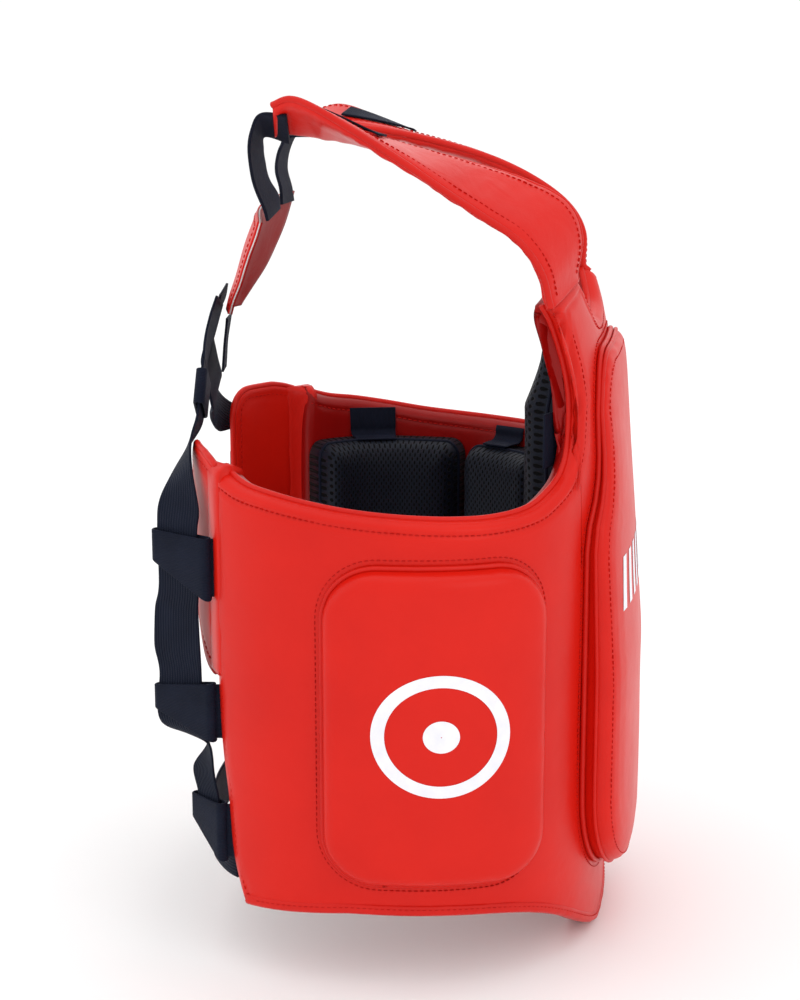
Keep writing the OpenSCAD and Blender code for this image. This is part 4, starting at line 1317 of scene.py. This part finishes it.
def landing(word, middle, across, up, width):
    """Hook-and-loop tape sewn on top of the strap's rear end."""
    rows = LANDING_ROWS
    lift = up[rows] * (STRAP_T / 2 + 0.9)
    reach = (width[rows] * 0.24)[:, None]
    batch = Batch()
    sweep(batch, middle[rows] - across[rows] * reach + lift, middle[rows] + across[rows] * reach + lift,
          flat_section(1.5))
    obj = batch.make(f"{word}_landing_tape", HOOK, "yoke", "hook_and_loop", (f"{word}_hook_patch",))
    tidy_normals(obj)


# ---------------------------------------------------------------- yoke bands, patch and harness
# Bands from the strap's rear end down to the patch: outer and inner edge, drawn on the left.
BANDS = {
    -1: ([(88, 60, 586), (82, 80, 586), (76, 88, 574), (66, 93, 556), (56, 92, 534), (48, 86, 514),
          (46, 84, 504)],
         [(47, 66, 562), (40, 86, 566), (31, 90, 556), (20, 91, 544), (10, 90, 530), (4, 85, 518),
          (2, 84, 508)]),
    1: ([(88, 60, 566), (82, 79, 566), (75, 86, 558), (66, 90, 546), (56, 90, 532), (48, 85, 518),
         (46, 83, 508)],
        [(47, 66, 558), (40, 86, 558), (31, 89, 552), (21, 90, 544), (12, 89, 534), (6, 85, 522),
         (4, 84, 510)]),
}


def yoke_band(word):
    side = SIDES[word]
    out, inner = BANDS[side]

    def relief(travel, q, h):
        return 0.8 * noise.noise(Vector((travel / 25, q / 30, 2.0 + side)))
    tape(f"{word}_hook_band", (on_side(out, side), on_side(inner, side)), 70, flat_section(2.2), HOOK,
         "yoke", "hook_and_loop", (f"{word}_yoke_band",), relief)


# the patch's right edge, middle and left edge, from its top down
PATCH_RIGHT = [(-48, 90, 503), (-46, 96, 484), (-40, 104, 465), (-30, 112, 448), (-17, 121, 428)]
PATCH_MID = [(0, 98, 510), (0, 106, 490), (0, 113, 470), (0, 119, 452), (0, 126, 430)]
PATCH_LEFT = [(48, 84, 516), (46, 90, 494), (40, 98, 473), (31, 108, 453), (17, 121, 430)]


def patch_rows(count=44, columns=30):
    right = spline(PATCH_RIGHT, count)
    mid = spline(PATCH_MID, count)
    left = spline(PATCH_LEFT, count)
    return np.array([spline(row, columns) for row in zip(right, mid, left)])


def back_patch():
    rows = patch_rows()
    count, columns = rows.shape[:2]
    along = unit(np.gradient(rows, axis=0))
    across = unit(np.gradient(rows, axis=1))
    out = unit(np.cross(across, along))
    if out[count // 2, columns // 2, 1] < 0:
        out = -out
    spots = rows.reshape(-1, 3)
    wave = (1.1 * ripple(spots, 26, 5.0)).reshape(count, columns, 1)
    uvs = spots[:, [0, 2]] * MM
    for name, low, high, material, slot, nodes in (
            ("back_patch_leather", 0.2, 1.5, STRAP_RED, "red_leather", ("back_patch",)),
            # the backing's darker red is partly painted shade for the patch's underside
            ("back_patch_backing", -2.4, -1.0, LINING_WITH_PAINTED_SHADE, "lining", ("back_patch_lining",)),
            ("back_patch_raw_edge", -0.9, 0.1, RAW_EDGE, "white_print", ())):
        outer = (rows + out * (high + wave)).reshape(-1, 3)
        inner = (rows + out * (low + wave)).reshape(-1, 3)
        batch = Batch()
        total = count * columns
        faces = grid_faces(count, columns) + [tuple(i + total for i in f[::-1])
                                              for f in grid_faces(count, columns)]
        ring = border(count, columns)
        for i in range(len(ring)):
            k = (i + 1) % len(ring)
            faces.append((ring[i], ring[k], ring[k] + total, ring[i] + total))
        batch.add(np.vstack([outer, inner]), faces, np.vstack([uvs, uvs]))
        obj = batch.make(name, material, "yoke", slot, nodes)
        tidy_normals(obj)
    thread = Batch()
    inset_rows = rows[3:-3, 3:-3]
    normals = out[3:-3, 3:-3]
    lift = wave[3:-3, 3:-3] + 1.6
    sewn = inset_rows + normals * lift
    for place in (0, (slice(None), -1), (slice(None), 0)):
        stitches(thread, sewn[place], normals[place])
    thread.make("back_patch_stitches", THREAD, "yoke", "red_leather")


# outer and inner edge of each webbing between the patch and its straight run, and of the loose end
HARNESS = {
    "right": ([(28, 128, 444), (44, 130, 430)], [(-2, 131, 432), (9, 134, 414)]),
    "left": ([(20, 131, 446), (22, 134, 434), (22, 140, 422)],
             [(-3, 131.5, 440), (-4, 135, 426), (-9, 141, 407)]),
}
TAIL = ([(30, 131, 420), (33, 135, 399), (34, 137, 377)],
        [(8, 129, 420), (10, 132, 399), (11, 134, 377)])


def harness_webbing(word):
    """Webbing from the patch down to the keeper. It runs between the yoke and the shell, attached to neither.
    """
    side = SIDES[word]
    half = WEBBING_W / 2
    out, inner = HARNESS[word]
    out = out + [run_point(word, along, half) for along in (35, 23)]
    inner = inner + [run_point(word, along, -half) for along in (35, 23)]
    obj = webbing(f"{word}_patch_webbing", (on_side(out, side), on_side(inner, side)), 40, None,
                  f"{word}_harness_webbing")
    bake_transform(obj)


def tail():
    webbing("harness_loose_end", TAIL, 24, "yoke", "harness_tail")


# ---------------------------------------------------------------- cushions
CUSHION_FACE = -WALL - 2.0
CENTRE_CUSHION = {"half": 69, "low": 190, "high": 428, "taper": 368}
CUSHION_TOP_SHARE = 0.34
CUSHION_SEAM_SHARE = 0.42


def cushion(name, low_s, high_s, low_z, high_z, thick, radius, node, seed, taper_z=None):
    """A mesh cushion on the lining. Above `taper_z`, where it is given, it thins out towards its top."""
    outline = round_outline(low_s, high_s, low_z, high_z, radius, 160)
    middle = outline.mean(axis=0)
    rise = [(0, CUSHION_SEAM_SHARE), (0.6, 0.55), (2, 0.68), (4.5, 0.80), (8, 0.88), (14, 0.94), (24, 0.98),
            (60, 1)]
    full = profile_from([(distance, thick * part) for distance, part in rise])

    def share(z):
        if taper_z is None:
            return 1.0
        return 1 - (1 - CUSHION_TOP_SHARE) * np.clip((z - taper_z) / (high_z - taper_z), 0, 1)

    def profile(distance, z):
        return full(distance, z) * share(z)

    def relief(spots, distance):
        return 1.4 * ripple(spots, 45, seed) * np.clip(distance / 16, 0, 1) \
            + 0.8 * ripple(spots, 14, seed + 2) * np.exp(-((distance - 7) / 6) ** 2)
    star_pad(name, outline, middle, profile, (CUSHION_FACE, -1), MESH, (node,), relief, 26)
    closed = closed_line(outline, 2)
    seam = CUSHION_FACE - CUSHION_SEAM_SHARE * thick * share(closed[:, 1])
    cord = Batch()
    tube(cord, on_wall(closed[:, 0], closed[:, 1], seam), CUSHION_CORD, 8)
    cord.make(f"{name}_seam", ELASTIC, "shell", "elastic")


def cushions():
    for word, side in SIDES.items():
        spans = (("side", 79, 134, 168, 296), ("front", 38, 77, 168, 294))
        for place, start, end, low, high in spans:
            edges = sorted((side * s_at_angle(start + 0.8), side * s_at_angle(end - 0.8)))
            cushion(f"{word}_{place}_mesh_cushion", edges[0], edges[1], low, high, 37.0, 14.0,
                    f"{word}_{place}_cushion", 3.0 + side + (start > 50))
    half = s_at_x(CENTRE_CUSHION["half"])
    cushion("centre_mesh_cushion", -half, half, CENTRE_CUSHION["low"], CENTRE_CUSHION["high"], 39.0, 18.0,
            "centre_cushion", 7.0, CENTRE_CUSHION["taper"])


def elastic_strip(name, side, start, end, path, node):
    """A tape across angles start to end, that follows a path of offset and height."""
    edges = [[on_wall(side * s_at_angle(angle), z, off) for off, z in path] for angle in (start, end)]
    tape(name, edges, 40, flat_section(1.3), ELASTIC, "shell", "elastic", (node,))


def elastics():
    for word, side in SIDES.items():
        for place, start, end, top in (("rear", 96, 113, 320), ("front", 59, 70, 309)):
            path = [(-WALL + 0.4, top), (-WALL - 1.2, 306), (-WALL - 1.6, 301), (-WALL - 6, 297.6),
                    (-WALL - 14, 297.4), (-WALL - 21, 297.2)]
            elastic_strip(f"{word}_{place}_cushion_tape", side, start, end, path, f"{word}_{place}_elastic")
        path = [(-WALL - 1.0, 376), (-WALL - 1.0, 356), (-WALL - 1.0, 336)]
        elastic_strip(f"{word}_chest_cushion_tape", side, 24.5, 33, path, f"{word}_centre_elastic")


# ---------------------------------------------------------------- camera, light and floor
def look_at(obj, place, aim):
    obj.location = place
    obj.rotation_euler = (Vector(aim) - Vector(place)).to_track_quat("-Z", "Y").to_euler()


def camera():
    data = bpy.data.cameras.new("camera")
    data.sensor_width = 36
    data.lens = CAMERA_LENS
    data.clip_end = 50
    obj = add_object("camera", data)
    look_at(obj, CAMERA_PLACE, CAMERA_AIM)
    bpy.context.scene.camera = obj


def area_light(name, place, aim, size, power):
    data = bpy.data.lights.new(name, "AREA")
    data.shape = "RECTANGLE"
    data.size = size
    data.size_y = size
    data.energy = power
    look_at(add_object(name, data), place, aim)


def studio():
    world = bpy.data.worlds.new("studio")
    world.use_nodes = True
    set_inputs(world.node_tree.nodes["Background"], Color=(1, 1, 1, 1), Strength=1.03)
    bpy.context.scene.world = world
    area_light("top", (-0.2, 0.1, 2.3), (0, 0, 0.3), 2.2, 7)
    area_light("key", (-1.9, -1.6, 1.5), (0, 0, 0.3), 1.4, 6)
    area_light("rear", (-1.2, 2.0, 1.3), (0, 0, 0.3), 1.4, 3)
    area_light("far", (2.2, 0.2, 1.4), (0, 0, 0.35), 1.4, 3)
    mesh = bpy.data.meshes.new("floor")
    reach = 6.0
    corners = [(-reach, -reach, 0), (reach, -reach, 0), (reach, reach, 0), (-reach, reach, 0)]
    mesh.from_pydata(corners, [], [(0, 1, 2, 3)])
    floor = add_object("floor", mesh)
    paint = bpy.data.materials.new("floor_paint")
    paint.use_nodes = True
    set_inputs(paint.node_tree.nodes["Principled BSDF"], Base_Color=(0.98, 0.98, 0.98, 1), Roughness=0.9)
    mesh.materials.append(paint)
    bpy.context.scene.view_settings.view_transform = "Standard"


# ---------------------------------------------------------------- build
camera()
studio()
padded_wall()
rim_trim()
hem_band()
front_pad()
for side_word in SIDES:
    side_pad(side_word)
    wing(side_word)
    for loop_place in LOOPS:
        webbing_loop(side_word, loop_place)
    back_webbing(side_word)
    shoulder_strap(side_word)
    yoke_band(side_word)
    harness_webbing(side_word)
keeper("right")
lower_webbing()
back_patch()
tail()
cushions()
elastics()
